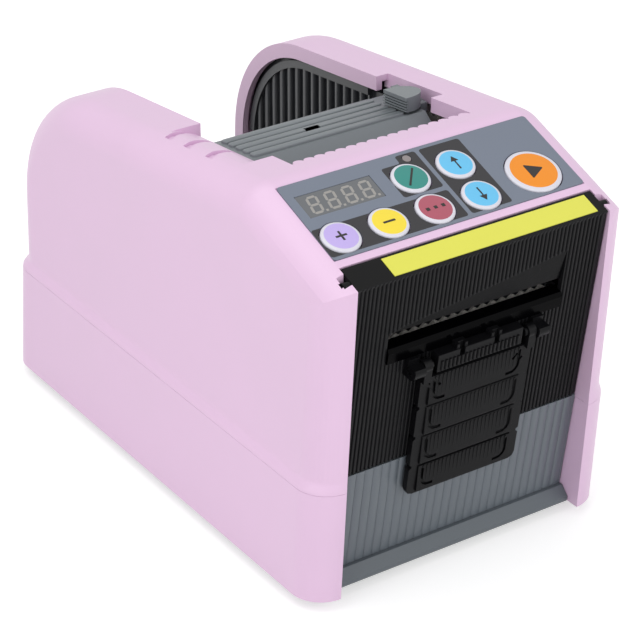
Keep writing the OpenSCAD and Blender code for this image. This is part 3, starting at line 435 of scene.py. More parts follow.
def moulded(name, colour, rough=0.4, grain_mm=0.5, bump=0.02, patch_mm=35.0, patch=0.03, ior=1.5,
            coat=0.0, metallic=0.0):
    """Moulded plastic: a fine spark-eroded grain, and broad faint patches where hands polish it."""
    mat, tree, shader, place = new_material(name)
    shader.inputs["IOR"].default_value = ior
    shader.inputs["Metallic"].default_value = metallic
    shader.inputs["Coat Weight"].default_value = coat
    shader.inputs["Coat Roughness"].default_value = 0.08
    wide = add(tree, "ShaderNodeTexNoise", {"Scale": 1000 / patch_mm, "Detail": 3.0}, Vector=place)
    shade = add(tree, "ShaderNodeMapRange", {1: 0.3, 2: 0.7, 3: 1 - patch, 4: 1 + patch},
                i0=wide.outputs["Fac"])
    tint = add(tree, "ShaderNodeVectorMath", {"operation": "SCALE", 0: linear(colour)[:3]},
               Scale=shade.outputs[0])
    tree.links.new(tint.outputs[0], shader.inputs["Base Color"])
    rub = add(tree, "ShaderNodeMapRange", {1: 0.3, 2: 0.7, 3: rough - 0.04, 4: rough + 0.05},
              i0=wide.outputs["Fac"])
    tree.links.new(rub.outputs[0], shader.inputs["Roughness"])
    grain = add(tree, "ShaderNodeTexNoise", {"Scale": 1000 / grain_mm, "Detail": 2.0}, Vector=place)
    lift = add(tree, "ShaderNodeBump", {"Strength": bump, "Distance": 0.0002}, Height=grain.outputs["Fac"])
    tree.links.new(lift.outputs[0], shader.inputs["Normal"])
    return mat


def metal(name, colour, rough, brush_mm=0.3, stretch=(1, 12, 12), bump=0.05):
    """Metal with fine lines from turning or rolling, drawn a few times coarser than they are."""
    mat, tree, shader, place = new_material(name)
    shader.inputs["Metallic"].default_value = 1.0
    shader.inputs["Base Color"].default_value = linear(colour)
    turn = add(tree, "ShaderNodeMapping", {"Scale": stretch}, Vector=place)
    lines = add(tree, "ShaderNodeTexNoise", {"Scale": 100 / brush_mm, "Detail": 2.0}, Vector=turn.outputs[0])
    rub = add(tree, "ShaderNodeMapRange", {1: 0.3, 2: 0.7, 3: rough - 0.06, 4: rough + 0.08},
              i0=lines.outputs["Fac"])
    tree.links.new(rub.outputs[0], shader.inputs["Roughness"])
    lift = add(tree, "ShaderNodeBump", {"Strength": bump, "Distance": 0.0001}, Height=lines.outputs["Fac"])
    tree.links.new(lift.outputs[0], shader.inputs["Normal"])
    return mat


# Pink ABS with a spark-eroded tool finish, lightly polished: a soft even sheen along every edge
PINK = moulded("pink_satin_abs", "#E6C5E2", rough=0.36, grain_mm=0.8, bump=0.03, patch=0.012)
# Grey ABS straight from the tool: a dull face that brightens only on the tops of the lands
COVER_GREY = moulded("grey_moulded_abs", "#757B7F", rough=0.42, grain_mm=0.6, bump=0.05, patch=0.04)
# Slate ABS of the lower front: smoother, so its upright grooves draw thin dark lines
PANEL_GREY = moulded("slate_moulded_abs", "#626970", rough=0.38, grain_mm=0.6, bump=0.04, patch=0.03)
# The same resin moulded coarser for the base: flat grey with hardly a highlight
BASE_GREY = moulded("base_moulded_abs", "#5A6167", rough=0.45, grain_mm=0.7, bump=0.05, patch=0.03)
# Dark ABS of the tape bay: rounded ribs with a long soft highlight each
LINER_GREY = moulded("dark_liner_abs", "#393B3F", rough=0.33, grain_mm=0.6, bump=0.05, patch=0.05)
# Black ABS of the cover: each fine rib takes a thin grey line, dulled in patches by handling
COVER_BLACK = moulded("black_ribbed_abs", "#131315", rough=0.42, grain_mm=0.5, bump=0.06, patch=0.12,
                      ior=1.24)
# Black ABS of the tray: deeper than the cover, with its steps picked out by the light
TRAY_BLACK = moulded("black_tray_abs", "#0D0D0F", rough=0.36, grain_mm=0.5, bump=0.06, patch=0.15,
                     ior=1.2)
# Polished black roof of the cover: mirrors the room softly
GLOSS_BLACK = moulded("polished_black_abs", "#070708", rough=0.18, grain_mm=1.5, bump=0.02, patch=0.1,
                      ior=1.26)
# Polished lip under the outlet: the darkest line of the front
LIP_BLACK = moulded("polished_lip_abs", "#020203", rough=0.2, grain_mm=1.5, bump=0.02, patch=0.1, ior=1.1)
# Smooth hood over the outlet: a plain charcoal slope
HOOD_GREY = moulded("smooth_hood_abs", "#09090B", rough=0.24, grain_mm=0.8, bump=0.02, patch=0.05,
                    ior=1.15)
# Polyester keypad film printed from behind: matt blue-grey with a fine orange peel
FILM = moulded("printed_polyester_film", "#727A89", rough=0.42, grain_mm=0.35, bump=0.04, patch=0.015)
# Charcoal zones of the same print
FILM_BLACK = moulded("black_film_print", "#201F23", rough=0.4, grain_mm=0.35, bump=0.04, patch=0.03)
# Vinyl film strip: flat clear yellow with a slight sheen
YELLOW = moulded("yellow_vinyl_film", "#E0DF55", rough=0.35, grain_mm=0.5, bump=0.03, patch=0.01)
# Off-white printed ring round each key
RING = moulded("pale_key_ring_print", "#DAD9E3", rough=0.35, grain_mm=0.4, bump=0.02, patch=0.01)
# Screen-printed ink of the symbols: near black and matt
MARK = moulded("black_symbol_ink", "#181512", rough=0.45, grain_mm=0.3, bump=0.02, patch=0.02)
# Key faces: solid printed colours under a smooth film
SKY_BLUE = moulded("sky_blue_key_face", "#68C2EE", rough=0.3, patch=0.01)
KEYS = {
    "plus": moulded("lavender_key_face", "#C2AFEA", rough=0.3, patch=0.01),
    "minus": moulded("yellow_key_face", "#F5DC3C", rough=0.3, patch=0.01),
    "select": moulded("dusky_red_key_face", "#AC5365", rough=0.3, patch=0.01),
    "mode": moulded("green_key_face", "#2F8A81", rough=0.3, patch=0.01),
    "up": SKY_BLUE,
    "down": SKY_BLUE,
    "start": moulded("orange_key_face", "#F08F12", rough=0.3, patch=0.01),
}
# Smoked display window: a clear coat over dark grey, so it shines more than the film
SMOKED = moulded("smoked_window_film", "#5E6165", rough=0.16, grain_mm=2.0, bump=0.01, patch=0.03,
                 coat=0.5)
# Unlit display segments: pale warm grey bars
SEGMENT = moulded("unlit_segment", "#9A9793", rough=0.35, grain_mm=0.5, bump=0.02, patch=0.02)
# Unlit indicator lamp: cloudy epoxy dome
LAMP = moulded("unlit_lamp_epoxy", "#8C8484", rough=0.2, grain_mm=0.5, bump=0.02, patch=0.05)
# Foot rubber: dusty black with no shine
RUBBER = moulded("black_foot_rubber", "#26272A", rough=0.7, grain_mm=0.4, bump=0.15, patch=0.1)
# Silicone rings of the feed roller: matt brick red
RUBBER_RED = moulded("red_silicone_rubber", "#B8463C", rough=0.55, grain_mm=0.5, bump=0.1, patch=0.05)
# Ground roller rubber: dark grey with a fine tooth
ROLLER_DARK = moulded("dark_roller_rubber", "#3B3D40", rough=0.6, grain_mm=0.5, bump=0.1, patch=0.05)
# Moulded nylon of the reel: creamy, slightly waxy
NYLON = moulded("ivory_moulded_nylon", "#D9D6C8", rough=0.45, grain_mm=0.6, bump=0.04, patch=0.03)
# Acetal gear and roller: cool white and slick
ACETAL = moulded("white_acetal", "#E4E2D9", rough=0.4, grain_mm=0.6, bump=0.03, patch=0.02)
# Glass-epoxy circuit board: green lacquer over a faint cloth weave
BOARD = moulded("green_glass_epoxy", "#2E6B45", rough=0.3, grain_mm=1.2, bump=0.1, patch=0.12)
# Black ABS of the socket and switch: fine grain, low sheen
BLACK_ABS = moulded("black_fitting_abs", "#1B1C1E", rough=0.4, grain_mm=0.5, bump=0.06, patch=0.06)
# Painted zinc casting of the blade holders: pebbly dark grey with a metal glint
DIE_CAST = moulded("die_cast_zinc_paint", "#5A5D61", rough=0.5, grain_mm=0.8, bump=0.12, patch=0.08,
                   metallic=0.6)
# Ground rods and pins: bright, with fine turning lines
STEEL = metal("ground_steel_rod", "#C2C5C8", 0.24)
# Zinc-plated sheet of the frame: cool grey with rolling lines
SHEET = metal("zinc_plated_sheet", "#A9ADB1", 0.36, brush_mm=0.6, bump=0.1)
# Zinc-plated screws and ties: a little brighter than the sheet
ZINC = metal("zinc_plated_steel", "#B9BCC0", 0.32)
# Machined pinion: warm yellow with tool marks
BRASS = metal("machined_brass", "#C9A24A", 0.28)
# Sintered bushes: dull brown metal, finely porous
BRONZE = metal("sintered_bronze", "#B08D57", 0.45, bump=0.15)
# Drawn motor cans: lines round the can from the draw
CAN = metal("drawn_steel_can", "#9A9DA1", 0.33, stretch=(12, 12, 1))
# Ground blade steel: the brightest metal, mirror-like along the edge
BLADE = metal("ground_tool_steel", "#CFD1D3", 0.22)
# Serrated blade: its steel painted pale and barely metallic, a painted glint standing in for the light its
# teeth catch from every side
GLINT_PAINTED_TEETH = metal("bright_serrated_steel", "#F2EEE8", 0.5, brush_mm=0.5, bump=0.2)
# little metal, so the painted pale colour shows as the teeth's glint rather than as a mirror
GLINT_PAINTED_TEETH.node_tree.nodes["Principled BSDF"].inputs["Metallic"].default_value = 0.25

FINISH = {
    PANEL_GREY: ["front_lower_panel"], BASE_GREY: ["base_tray"], COVER_BLACK: ["front_cover"],
    LIP_BLACK: ["outlet_lip"], HOOD_GREY: ["outlet_hood"], YELLOW: ["label_strip"],
    TRAY_BLACK: ["tape_tray"], FILM: ["keypad_overlay"], SMOKED: ["display_lens"],
    SEGMENT: ["display_module"], LAMP: ["indicator_led"], BOARD: ["control_board", "main_board"],
    COVER_GREY: ["top_cover", "thumb_latch"], RUBBER: ["feet"], RUBBER_RED: ["roller_rings"],
    ROLLER_DARK: ["press_roller"], LINER_GREY: ["left_liner", "right_liner", "bay_tub"],
    STEEL: ["top_cover_pin", "latch_pin", "reel_axle", "feed_shaft", "guide_rods"],
    NYLON: ["reel_core", "reel_discs"], ACETAL: ["feed_gear", "feed_roller"],
    SHEET: ["left_frame", "right_frame", "cutter_plate", "lower_guide", "upper_guide"],
    ZINC: ["tie_rods", "screws", "blade_screws"], BRASS: ["motor_pinion"],
    BRONZE: ["bearings", "board_posts", "cutter_crank"], CAN: ["feed_motor", "cutter_motor"],
    DIE_CAST: ["blade_bar", "blade_carrier"], BLADE: ["fixed_blade"], GLINT_PAINTED_TEETH: ["moving_blade"],
    BLACK_ABS: ["power_socket", "switch_bezel", "switch_rocker"],
    PINK: ["upper_housing", "lower_housing"],
}
for mat, nodes in FINISH.items():
    for node in nodes:
        paint(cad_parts[node], mat)

# ---------------------------------------------------------------- housing shells
def form(name, outline, half, inset=0):
    """Solid of a side outline with its long edges rounded, all of it inset."""
    rings = []
    r = EDGE - inset
    for i in range(2 * ROUND_STEPS + 2):
        side = -1 if i <= ROUND_STEPS else 1
        k = i if side < 0 else 2 * ROUND_STEPS + 1 - i
        a = 90 * (1 - k / ROUND_STEPS)
        w = half - inset - r * (1 - sin(a))
        rings.append([(side * w, p[0], p[1]) for p in outline(inset + r * (1 - cos(a)))])
    return loft(name, rings)


def plan_outline(z, half, rear):
    """Outline of the housing seen from above at a height, with rounded corners."""
    x = half - EDGE
    y0 = front_y(z)
    return (arc((x, rear - EDGE), EDGE, 0, 90, 10) + arc((-x, rear - EDGE), EDGE, 90, 180, 10)
            + arc((-x, y0 + EDGE), EDGE, 180, 270, 10) + arc((x, y0 + EDGE), EDGE, 270, 360, 10))


def on_panel(p):
    """Row point of X, distance up the control panel and height above it."""
    return row((p[0], PANEL_START + p[1] * cos(PANEL_ANGLE) - p[2] * sin(PANEL_ANGLE),
                panel_z(PANEL_START) + p[1] * sin(PANEL_ANGLE) + p[2] * cos(PANEL_ANGLE)))


def flare():
    """Lower rim of the upper shell, which widens to the seam along an S curve."""
    rings = []
    for k in range(FLARE_STEPS + 1):
        t = k / FLARE_STEPS
        ease = t * t * (3 - 2 * t)
        half = HALF_BODY + (HALF_UPPER - HALF_BODY) * ease
        rear = SKIRT_REAR_TOP + (REAR_Y - SKIRT_REAR_TOP) * ease
        z = SEAM + SEAM_GAP + (FLARE - SEAM_GAP) * t
        rings.append([(p[0], p[1], z) for p in plan_outline(z, half - SLIVER, rear - SLIVER)])
    return loft("flare", rings)


def bay_opening():
    """Cutter for the bay, with a row of scallops left standing along its front edge."""
    bay = prism("bay", box_outline((-HALF_BAY, HALF_BAY), (SCALLOP_Y, BEYOND)), (SEAM, BEYOND))
    count = int(2 * HALF_BAY / SCALLOP_PITCH)
    for i in range(count):
        x = (i - (count - 1) / 2) * SCALLOP_PITCH
        combine(bay, prism("scallop", circle(x, SCALLOP_Y, SCALLOP_PITCH / 2, 24), (30, BEYOND + 20)))
    return bay


def inner_wall(shell, name, x, reach, y, depth=None, foot=REAR_SILL, base=SEAM):
    """Adds a wall under the shell's top within a reach of X and Y, down to a depth or a foot."""
    wall = along_x(name, x[0], x[1], side_points(WALL / 2, base))
    if depth:
        combine(wall, along_x("under", -70, 70, side_points(depth, REAR_SILL - 30)))
    combine(wall, block("reach", reach, y, (foot, ABOVE)), "INTERSECT")
    combine(shell, wall, "UNION")


def inner_walls(shell):
    """Skins of the cheeks, lips of the bay and the notch, and walls below the finger recess."""
    edge = HALF_BAY + POCKET
    for side in (-1, 1):
        half = sorted((0, side * HALF_BODY))
        inner_wall(shell, "skin", (side * HALF_FRONT, side * (HALF_FRONT + WALL)), half, (-1, RETURN),
                   foot=SEAM, base=SEAM + SEAM_GAP)
        inner_wall(shell, "lip", (side * HALF_BAY, side * (HALF_BAY + WALL)), half,
                   (SCALLOP_Y - 2, BEYOND), LIP)
    inner_wall(shell, "notch_lip", (edge, edge + 1.2), (0, HALF_BODY), (NOTCH[0] - 2, NOTCH[1] + 2), LIP)
    inner_wall(shell, "grip_backing", (GRIP_BACK, -edge), (GRIP_BACK, 0),
               (RECESS[0], RECESS[1] + WALL), WALL + 1.8)
    inner_wall(shell, "recess_floor", (-edge - WALL, -HALF_BAY), (-HALF_BODY, 0),
               (RECESS[0] - WALL, RECESS[1] + WALL), LIP + WALL)
    # short wall below the scalloped edge, in front of the top cover's shelf
    inner_wall(shell, "curtain", (-HALF_BAY + 0.6, HALF_BAY - 0.6), WIDE,
               (SCALLOP_Y - 2.6, SCALLOP_Y - 1.2), foot=top_z(FEED_Y - 12) - 15.5)


def hollow(x):
    """Depth of the finger recess below the cheek; outside it the cutter stays just clear."""
    clear = 0.3 if x < DISH_X + 1 else 0
    return POCKET * (max(0, x - DISH_X) / (-HALF_BAY - DISH_X)) ** 2 - clear


def dish(x, front, rear, deep):
    """Ring from a depth below the top up to clear air."""
    return [(x, front, top_z(front) - deep), (x, front, 150), (x, rear, 150), (x, rear, top_z(rear) - deep)]


def finger_recess(shell):
    """Cuts the recess left of the bay, and three crescent grips into its floor."""
    stations = [GRIP_X, DISH_X, -47, -44, -41.5, -39, -HALF_BAY, -35]
    combine(shell, loft("dip", [dish(x, RECESS[0], RECESS[1], hollow(x)) for x in stations]))
    for y in GRIPS:
        rings = []
        for k in range(17):
            t = k / 16
            x = GRIP_X + GRIP_LENGTH * t
            rear = y + 2.6 * math.sin(t * math.pi * 0.62)
            front = rear - 4.0 * (1 - t) ** 0.8 - 0.1
            rings.append(dish(x, front, rear, hollow(x) + 0.15 + 1.6 * (1 - t)))
        combine(shell, loft("grip", rings))


def upper_shell():
    """Upper housing with its cheeks, its scalloped bay, the finger recess and the control panel."""
    shell = form("upper_shell", lambda d: side_points(d, SEAM), HALF_UPPER)
    combine(shell, flare(), "UNION")
    combine(shell, form("hollow", lambda d: side_points(d, SEAM - 1), HALF_UPPER, WALL))
    combine(shell, bay_opening())
    inner_walls(shell)
    mouth = (-HALF_FRONT, HALF_FRONT)
    for cut in (("mouth", mouth, (-5, PANEL_START), (0, 300)),
                ("mouth_low", mouth, (-5, RETURN + 5), (0, FRONT_HEIGHT - 8)),
                ("mouth_top", mouth, (-8, 0), (-30, 5), on_panel),
                ("rear_gap", (-HALF_BAY, HALF_BAY), (SCALLOP_Y + 20, BEYOND), (REAR_SILL, ABOVE)),
                ("pocket", (0, HALF_BAY + POCKET), NOTCH, (REAR_SILL, ABOVE))):
        combine(shell, block(*cut))
    finger_recess(shell)
    for side in (-1, 1):
        combine(shell, block("pin_notch", sorted((side * (HALF_FRONT - 1), side * (HALF_FRONT + 2.8))),
                             (HINGE[0] - 2.2, HINGE[0] + 2.6), (HINGE[1] - 1.4, 140)))
    bore = HALF_FRONT + WALL + 1
    combine(shell, bar_x("hinge_bore", HINGE[2] + 0.08, -bore, bore, HINGE[0], HINGE[1]))
    combine(shell, block("seat", (-HALF_FRONT + 0.2, HALF_FRONT - 0.2), OVERLAY_S, (-0.5, 5), on_panel))
    for name, x, s, r in KEY_AT:
        combine(shell, prism("key_hole", circle(x, s, r + KEY_GAP, 36), (-8, 4), on_panel))
    combine(shell, block("window", WINDOW_X, WINDOW_S, (-8, 5), on_panel))
    combine(shell, prism("lamp_hole", circle(*LED_AT, LED_HOLE, 24), (-8, 4), on_panel))
    return stand_for(paint(soften(shell, 0.7, 3), PINK), "housing", "pink", "upper_housing")


def lower_shell():
    """Lower housing with the mouth for the front panel, and holes for the socket and the switch."""
    lean = Matrix.Rotation(math.radians(-SKIRT_LEAN), 4, "X")

    def skirt(d):
        """Side outline inset by d, up to the joint line."""
        return skirt_points(d, 0, SEAM - SEAM_GAP)

    def on_rear(x):
        """Placer about a point of the leaning rear wall."""
        origin = row((x, BODY_LENGTH - SOCKET_Z * tan(SKIRT_LEAN), SOCKET_Z))
        return lambda p: origin + lean @ Vector((p[0] * MM, p[1] * MM, p[2] * MM))

    shell = form("lower_shell", skirt, HALF_BODY)
    combine(shell, form("hollow", lambda d: skirt_points(d, -1, SEAM + 1), HALF_BODY, WALL))
    for side in (-1, 1):
        skin = form("skin", skirt, HALF_BODY)
        combine(skin, block("reach", sorted((side * HALF_FRONT, side * (HALF_FRONT + WALL))),
                            (-1, RETURN), (0, SEAM - SEAM_GAP)), "INTERSECT")
        combine(shell, skin, "UNION")
    combine(shell, block("mouth", (-HALF_FRONT, HALF_FRONT), (-5, 40), (-1, SEAM + 1)))
    combine(shell, bar_y("socket_hole", 6.1, 0, (-10, 10), 0, place=on_rear(0.825 * HALF_BAY)))
    combine(shell, block("switch_hole", (-9.6, 9.6), (-10, 10), (-6.45, 6.45), on_rear(-0.715 * HALF_BAY)))
    return stand_for(paint(soften(shell, 0.6), PINK), "housing", "pink", "lower_housing")


# ---------------------------------------------------------------- keypad
def rounded(points, r, steps=5):
    """Outline with every corner rounded by r, inner corners too."""
    out = []
    for i, p in enumerate(points):
        a = Vector(points[i - 1]) - Vector(p)
        b = Vector(points[(i + 1) % len(points)]) - Vector(p)
        half = a.angle(b) / 2
        a.normalize()
        b.normalize()
        reach = r / math.tan(half)
        mid = Vector(p) + (a + b).normalized() * (r / math.sin(half))
        start, end = Vector(p) + a * reach - mid, Vector(p) + b * reach - mid
        for k in range(steps + 1):
            q = start.lerp(end, k / steps).normalized() * r + mid
            out.append((q.x, q.y))
    return out


def window_outline(inset):
    """Rectangle of the display window, inset."""
    return box_outline((WINDOW_X[0] + inset, WINDOW_X[1] - inset), (WINDOW_S[0] + inset, WINDOW_S[1] - inset))


BLACK_ZONES = [
    box_outline((-50.3, 3.4), (4.4, 17.4)),
    [(-12.4, 19.2), (3.4, 19.2), (3.4, 37.2), (-4.6, 37.2), (-4.6, 33.6), (-12.4, 33.6)],
    box_outline((5.0, 21.4), (4.6, 37.2)),
]


def pierced(layer):
    """Layer of the film with its holes for the keys, the window and the lamp."""
    through = (-5, 5)
    for name, x, s, r in KEY_AT:
        combine(layer, prism("hole", circle(x, s, r + KEY_GAP), through, on_panel))
    combine(layer, prism("hole", window_outline(0.1), through, on_panel))
    return combine(layer, prism("hole", circle(*LED_AT, LED_HOLE, 24), through, on_panel))


def overlay():
    """Printed film: one grey sheet, with the black fields let into its face."""
    edge = box_outline((-HALF_FRONT + 0.3, HALF_FRONT - 0.3), (OVERLAY_S[0] + 0.1, OVERLAY_S[1] - 0.1))
    sheet = prism("film", rounded(edge, 1.2), (-0.5, OVERLAY_T), on_panel)
    fields = []
    for zone in BLACK_ZONES:
        shape = rounded(zone, 1.0)
        combine(sheet, prism("field", shape, (OVERLAY_T - 0.12, 5), on_panel))
        mid = [sum(q[i] for q in shape) / len(shape) for i in (0, 1)]
        inset = [(mid[0] + (q[0] - mid[0]) * 0.999, mid[1] + (q[1] - mid[1]) * 0.999) for q in shape]
        field = prism("field", inset, (OVERLAY_T - 0.1, OVERLAY_T - 0.005), on_panel)
        combine(field, prism("edge", edge, (-1, 1), on_panel), "INTERSECT")
        fields.append(paint(pierced(field), FILM_BLACK))
    film = join("keypad_film", [paint(pierced(sheet), FILM)] + fields)
    return stand_for(smooth(film), "housing", "overlay_film", "keypad_overlay")


def bar(x, s, w, h, turn=0):
    """Corners of a bar w by h centred at (x, s) and turned."""
    return turned(box_outline((-w / 2, w / 2), (-h / 2, h / 2)), turn, (x, s))


def arrow(x, s, up):
    """Shaft and head of an arrow that points up or down the panel."""
    d = 1 if up else -1
    return [box_outline((x - 0.3, x + 0.3), (s - 3 * d, s + 0.8 * d))[::d],
            [(x - 1.5, s + 0.8 * d), (x + 1.5, s + 0.8 * d), (x, s + 3.2 * d)][::d]]


def symbols(name, x, s):
    """Outlines printed on a key."""
    if name == "plus":
        return [bar(x, s, 4.2, 0.8), bar(x, s + 1.25, 0.8, 1.7), bar(x, s - 1.25, 0.8, 1.7)]
    if name == "minus":
        return [bar(x, s, 4.6, 0.85)]
    if name == "mode":
        return [bar(x, s, 8.6, 0.7, 52)]
    if name == "select":
        return [bar(x + dx, s, 1.3, 1.3) for dx in (-3, 0, 3)]
    if name == "start":
        return [rounded([(x - 2.4, s - 3.4), (x + 3.8, s), (x - 2.4, s + 3.4)], 0.3, 3)]
    return arrow(x, s, name == "up")


def key(name, x, s, r):
    """Low domed key: coloured face, pale rim and side, and its printed mark."""
    profile = [(r, KEY_FOOT), (r, 0.3), (r - 0.1, 0.55), (r - 0.3, 0.72), (r - 0.6, 0.84), (r * 0.85, 0.96),
               (r * 0.84, 0.965), (r * 0.6, 1.07), (r * 0.3, 1.14)]
    rim_bands = 6                   # stretches of the profile, from the foot up, that are the rim
    steps = 72
    verts, faces, kinds = [], [], []
    for q, n in profile:
        verts += [(x + q * cos(360 * i / steps), s + q * sin(360 * i / steps), n) for i in range(steps)]
    for k in range(len(profile) - 1):
        for i in range(steps):
            j = (i + 1) % steps
            faces.append((k * steps + i, k * steps + j, (k + 1) * steps + j, (k + 1) * steps + i))
            kinds.append(1 if k < rim_bands else 0)
    last = (len(profile) - 1) * steps
    verts += [(x, s, 1.16), (x, s, KEY_FOOT)]
    for i in range(steps):
        j = (i + 1) % steps
        faces += [(last + i, last + j, len(verts) - 2), (j, i, len(verts) - 1)]
        kinds += [0, 0]
    cap = mesh_object(name + "_cap", verts, faces, on_panel)
    cap.data.materials.append(KEYS[name])
    cap.data.materials.append(RING)
    cap.data.polygons.foreach_set("material_index", kinds)
    marks = [paint(prism("mark", shape, (0.9, KEY_TOP - 0.01), on_panel), MARK)
             for shape in symbols(name, x, s)]
    piece = join(name + "_key_cap", [smooth(cap, 40)] + marks)
    colour = {"plus": "lavender", "minus": "yellow", "select": "red", "mode": "green", "start": "orange"}
    return stand_for(piece, name + "_key", "key_" + colour.get(name, "blue"), "key_" + name)


def digit(x, s, w=4.4, h=8.0, t=0.95, slant=8):
    """Seven segments and a point, leaning to the right."""
    gap = 0.12
    segments = []
    for y in (0, 0.5, 1):
        a, b = 0.9 * t / 2 + gap, w - 0.9 * t / 2 - gap
        c = t / 2 + (h - t) * y
        segments.append([(a, c), (a + t / 2, c - t / 2), (b - t / 2, c - t / 2), (b, c),
                         (b - t / 2, c + t / 2), (a + t / 2, c + t / 2)])
    for across in (t / 2, w - t / 2):
        for low in (t / 2, h / 2):
            a, b = low + gap, low + (h - t) / 2 - gap
            segments.append([(across, a), (across + t / 2, a + t / 2), (across + t / 2, b - t / 2),
                             (across, b), (across - t / 2, b - t / 2), (across - t / 2, a + t / 2)])
    segments.append(box_outline((w + 0.5, w + 1.4), (0, 0.9)))
    return [[(x + p[0] + p[1] * tan(slant), s + p[1]) for p in shape] for shape in segments]


def display():
    """Smoked window with four unlit digits let into its face."""
    lens = paint(prism("lens", rounded(window_outline(0.2), 0.5), (-1.2, 0.16), on_panel), SMOKED)
    shapes = [shape for i in range(4) for shape in digit(DIGIT_AT[0] + DIGIT_PITCH * i, DIGIT_AT[1])]
    parts = [paint(prism("segment", shape, (0.1, 0.165), on_panel), SEGMENT) for shape in shapes]
    return stand_for(smooth(join("display_window", [lens] + parts)), "housing", "lens", "display_lens")


# ---------------------------------------------------------------- repeats
def repeat(name, piece, count, step, mat):
    """A row of copies of one piece, laid out by a node tree and kept as one plain mesh."""
    tree = bpy.data.node_groups.new(name, "GeometryNodeTree")
    wanted = {"Count": ("NodeSocketInt", count), "Step": ("NodeSocketVector", [c * MM for c in step]),
              "Piece": ("NodeSocketObject", piece), "Finish": ("NodeSocketMaterial", mat)}
    sockets = {key: tree.interface.new_socket(key, in_out="INPUT", socket_type=kind)
               for key, (kind, value) in wanted.items()}
    tree.interface.new_socket("Geometry", in_out="OUTPUT", socket_type="NodeSocketGeometry")
    given = add(tree, "NodeGroupInput").outputs
    line = add(tree, "GeometryNodeMeshLine", {"mode": "OFFSET"}, Count=given["Count"], Offset=given["Step"])
    source = add(tree, "GeometryNodeObjectInfo", None, Object=given["Piece"])
    copies = add(tree, "GeometryNodeInstanceOnPoints", None, Points=line.outputs[0],
                 Instance=source.outputs["Geometry"])
    real = add(tree, "GeometryNodeRealizeInstances", None, Geometry=copies.outputs[0])
    done = add(tree, "GeometryNodeSetMaterial", None, Geometry=real.outputs[0], Material=given["Finish"])
    add(tree, "NodeGroupOutput", None, Geometry=done.outputs[0])
    obj = new_object(name, bpy.data.meshes.new(name))
    mod = obj.modifiers.new(name, "NODES")
    mod.node_group = tree
    for key, (kind, value) in wanted.items():
        mod[sockets[key].identifier] = value
    flatten(obj)
    discard(piece)
    return obj


def rib_row(name, half, pitch, profile, reach, mat, place):
    """Straight ribs side by side across a face, each with the given profile of X and height."""
    count = int(2 * half / pitch)
    first = -(count - 1) / 2 * pitch
    rib = loft("rib", [[(first + q[0], along, q[1]) for q in profile] for along in reach], place)
    return repeat(name, rib, count, (pitch, 0, 0), mat)


# ---------------------------------------------------------------- front face
COVER_HALF = HALF_FRONT - 0.4       # half width of the cover
COVER_LEN = (COVER_TOP - COVER_BOTTOM) / cos(COVER_SLOPE)
WINDOW_TOP = COVER_TOP - 11.2       # upper edge of the outlet's window
SLOT_LOW = COVER_TOP - 27            # lower edge of the slot for the tape
OUTLET_HALF = 35.4
OUTLET_LOW = SLOT_LOW - 6.2
OUTLET = [(-1, OUTLET_LOW), (-1, WINDOW_TOP - 11), (-0.85, WINDOW_TOP - 9.4), (-0.55, WINDOW_TOP - 8),
          (-0.085, WINDOW_TOP - 5.7), (0.39, WINDOW_TOP - 3.3), (1, WINDOW_TOP), (1, OUTLET_LOW)]
THROUGH = (-20, 20)                 # depth of what cuts right through the cover
LABEL_EDGE = PANEL_START - 0.4      # rear edge of the cover's roof, under the label
LABEL_TOP = panel_z(LABEL_EDGE) - 0.3


def face(p):
    """Row point of X, distance up the leaning front face and height off it."""
    return row((p[0], COVER_Y - p[1] * sin(COVER_SLOPE) - p[2] * cos(COVER_SLOPE),
                COVER_TOP + p[1] * cos(COVER_SLOPE) - p[2] * sin(COVER_SLOPE)))


def face_up(z):
    """Distance up the front face, from its top edge, of a height."""
    return -(COVER_TOP - z) / cos(COVER_SLOPE)


def cover_face(z):
    """Y of the front face at a height."""
    return COVER_Y + (COVER_TOP - z) * tan(COVER_SLOPE)


TRAY_S = face_up(SLOT_LOW - 9.7)     # tray's pins: distance up the face, and height off it
TRAY_N = 2.6
TRAY_HALF = 22.75
TRAY_LENGTH = 54
TRAY_STEPS = 4
TRAY_STEP = 12.5
RIB = [(-0.5, -0.7), (-0.5, -0.26), (-0.34, -0.06), (0, 0), (0.34, -0.06), (0.5, -0.26), (0.5, -0.7)]


def pivot(r, x0, x1):
    """Round bar about the axis of the tray's pins."""
    return along_x("pivot", x0, x1, circle(TRAY_S, TRAY_N, r, 32), face)


def tray_lugs():
    """Open bearings for the tray's pins, one on each side."""
    lugs = []
    for side in (-1, 1):
        x0, x1 = sorted((side * (TRAY_HALF + 0.4), side * (TRAY_HALF + 4.8)))
        lug = pivot(3.4, x0, x1)
        combine(lug, block("foot", (x0, x1), (TRAY_S - 3.4, TRAY_S + 3.4), (-1, TRAY_N), face), "UNION")
        combine(lug, block("slot", (x0 - 1, x1 + 1), (TRAY_S + 1.6, TRAY_S + 4), (TRAY_N - 0.9, 9), face))
        combine(lug, pivot(1.55, x0 - 1, x1 + 1))
        lugs.append(paint(soften(lug, 0.3), TRAY_BLACK))
    return lugs


def tray_head():
    """Ribbed block between the lugs, with its two hooks."""
    half = TRAY_HALF - 5.4
    low, high = TRAY_S - 3.4, face_up(OUTLET_LOW) - 0.1
    head = block("head", (-half, half), (low, high), (-1, 4.1), face)
    for x in (-7.5, 6.5):
        combine(head, block("hook", (x - 2.2, x + 2.2), (high - 0.4, high + 1.6), (-0.3, 3.6), face), "UNION")
        combine(head, block("hook_gap", (x - 1.0, x + 1.0), (high - 3, high + 3), (2.2, 9), face))
    ribs = rib_row("head_ribs", half - 0.6, RIB_PITCH, [(q[0], 4.55 + q[1]) for q in RIB],
                   (low + 0.5, high - 2.6), TRAY_BLACK, face)
    return [paint(soften(head, 0.3), TRAY_BLACK), smooth(ribs, 50)]


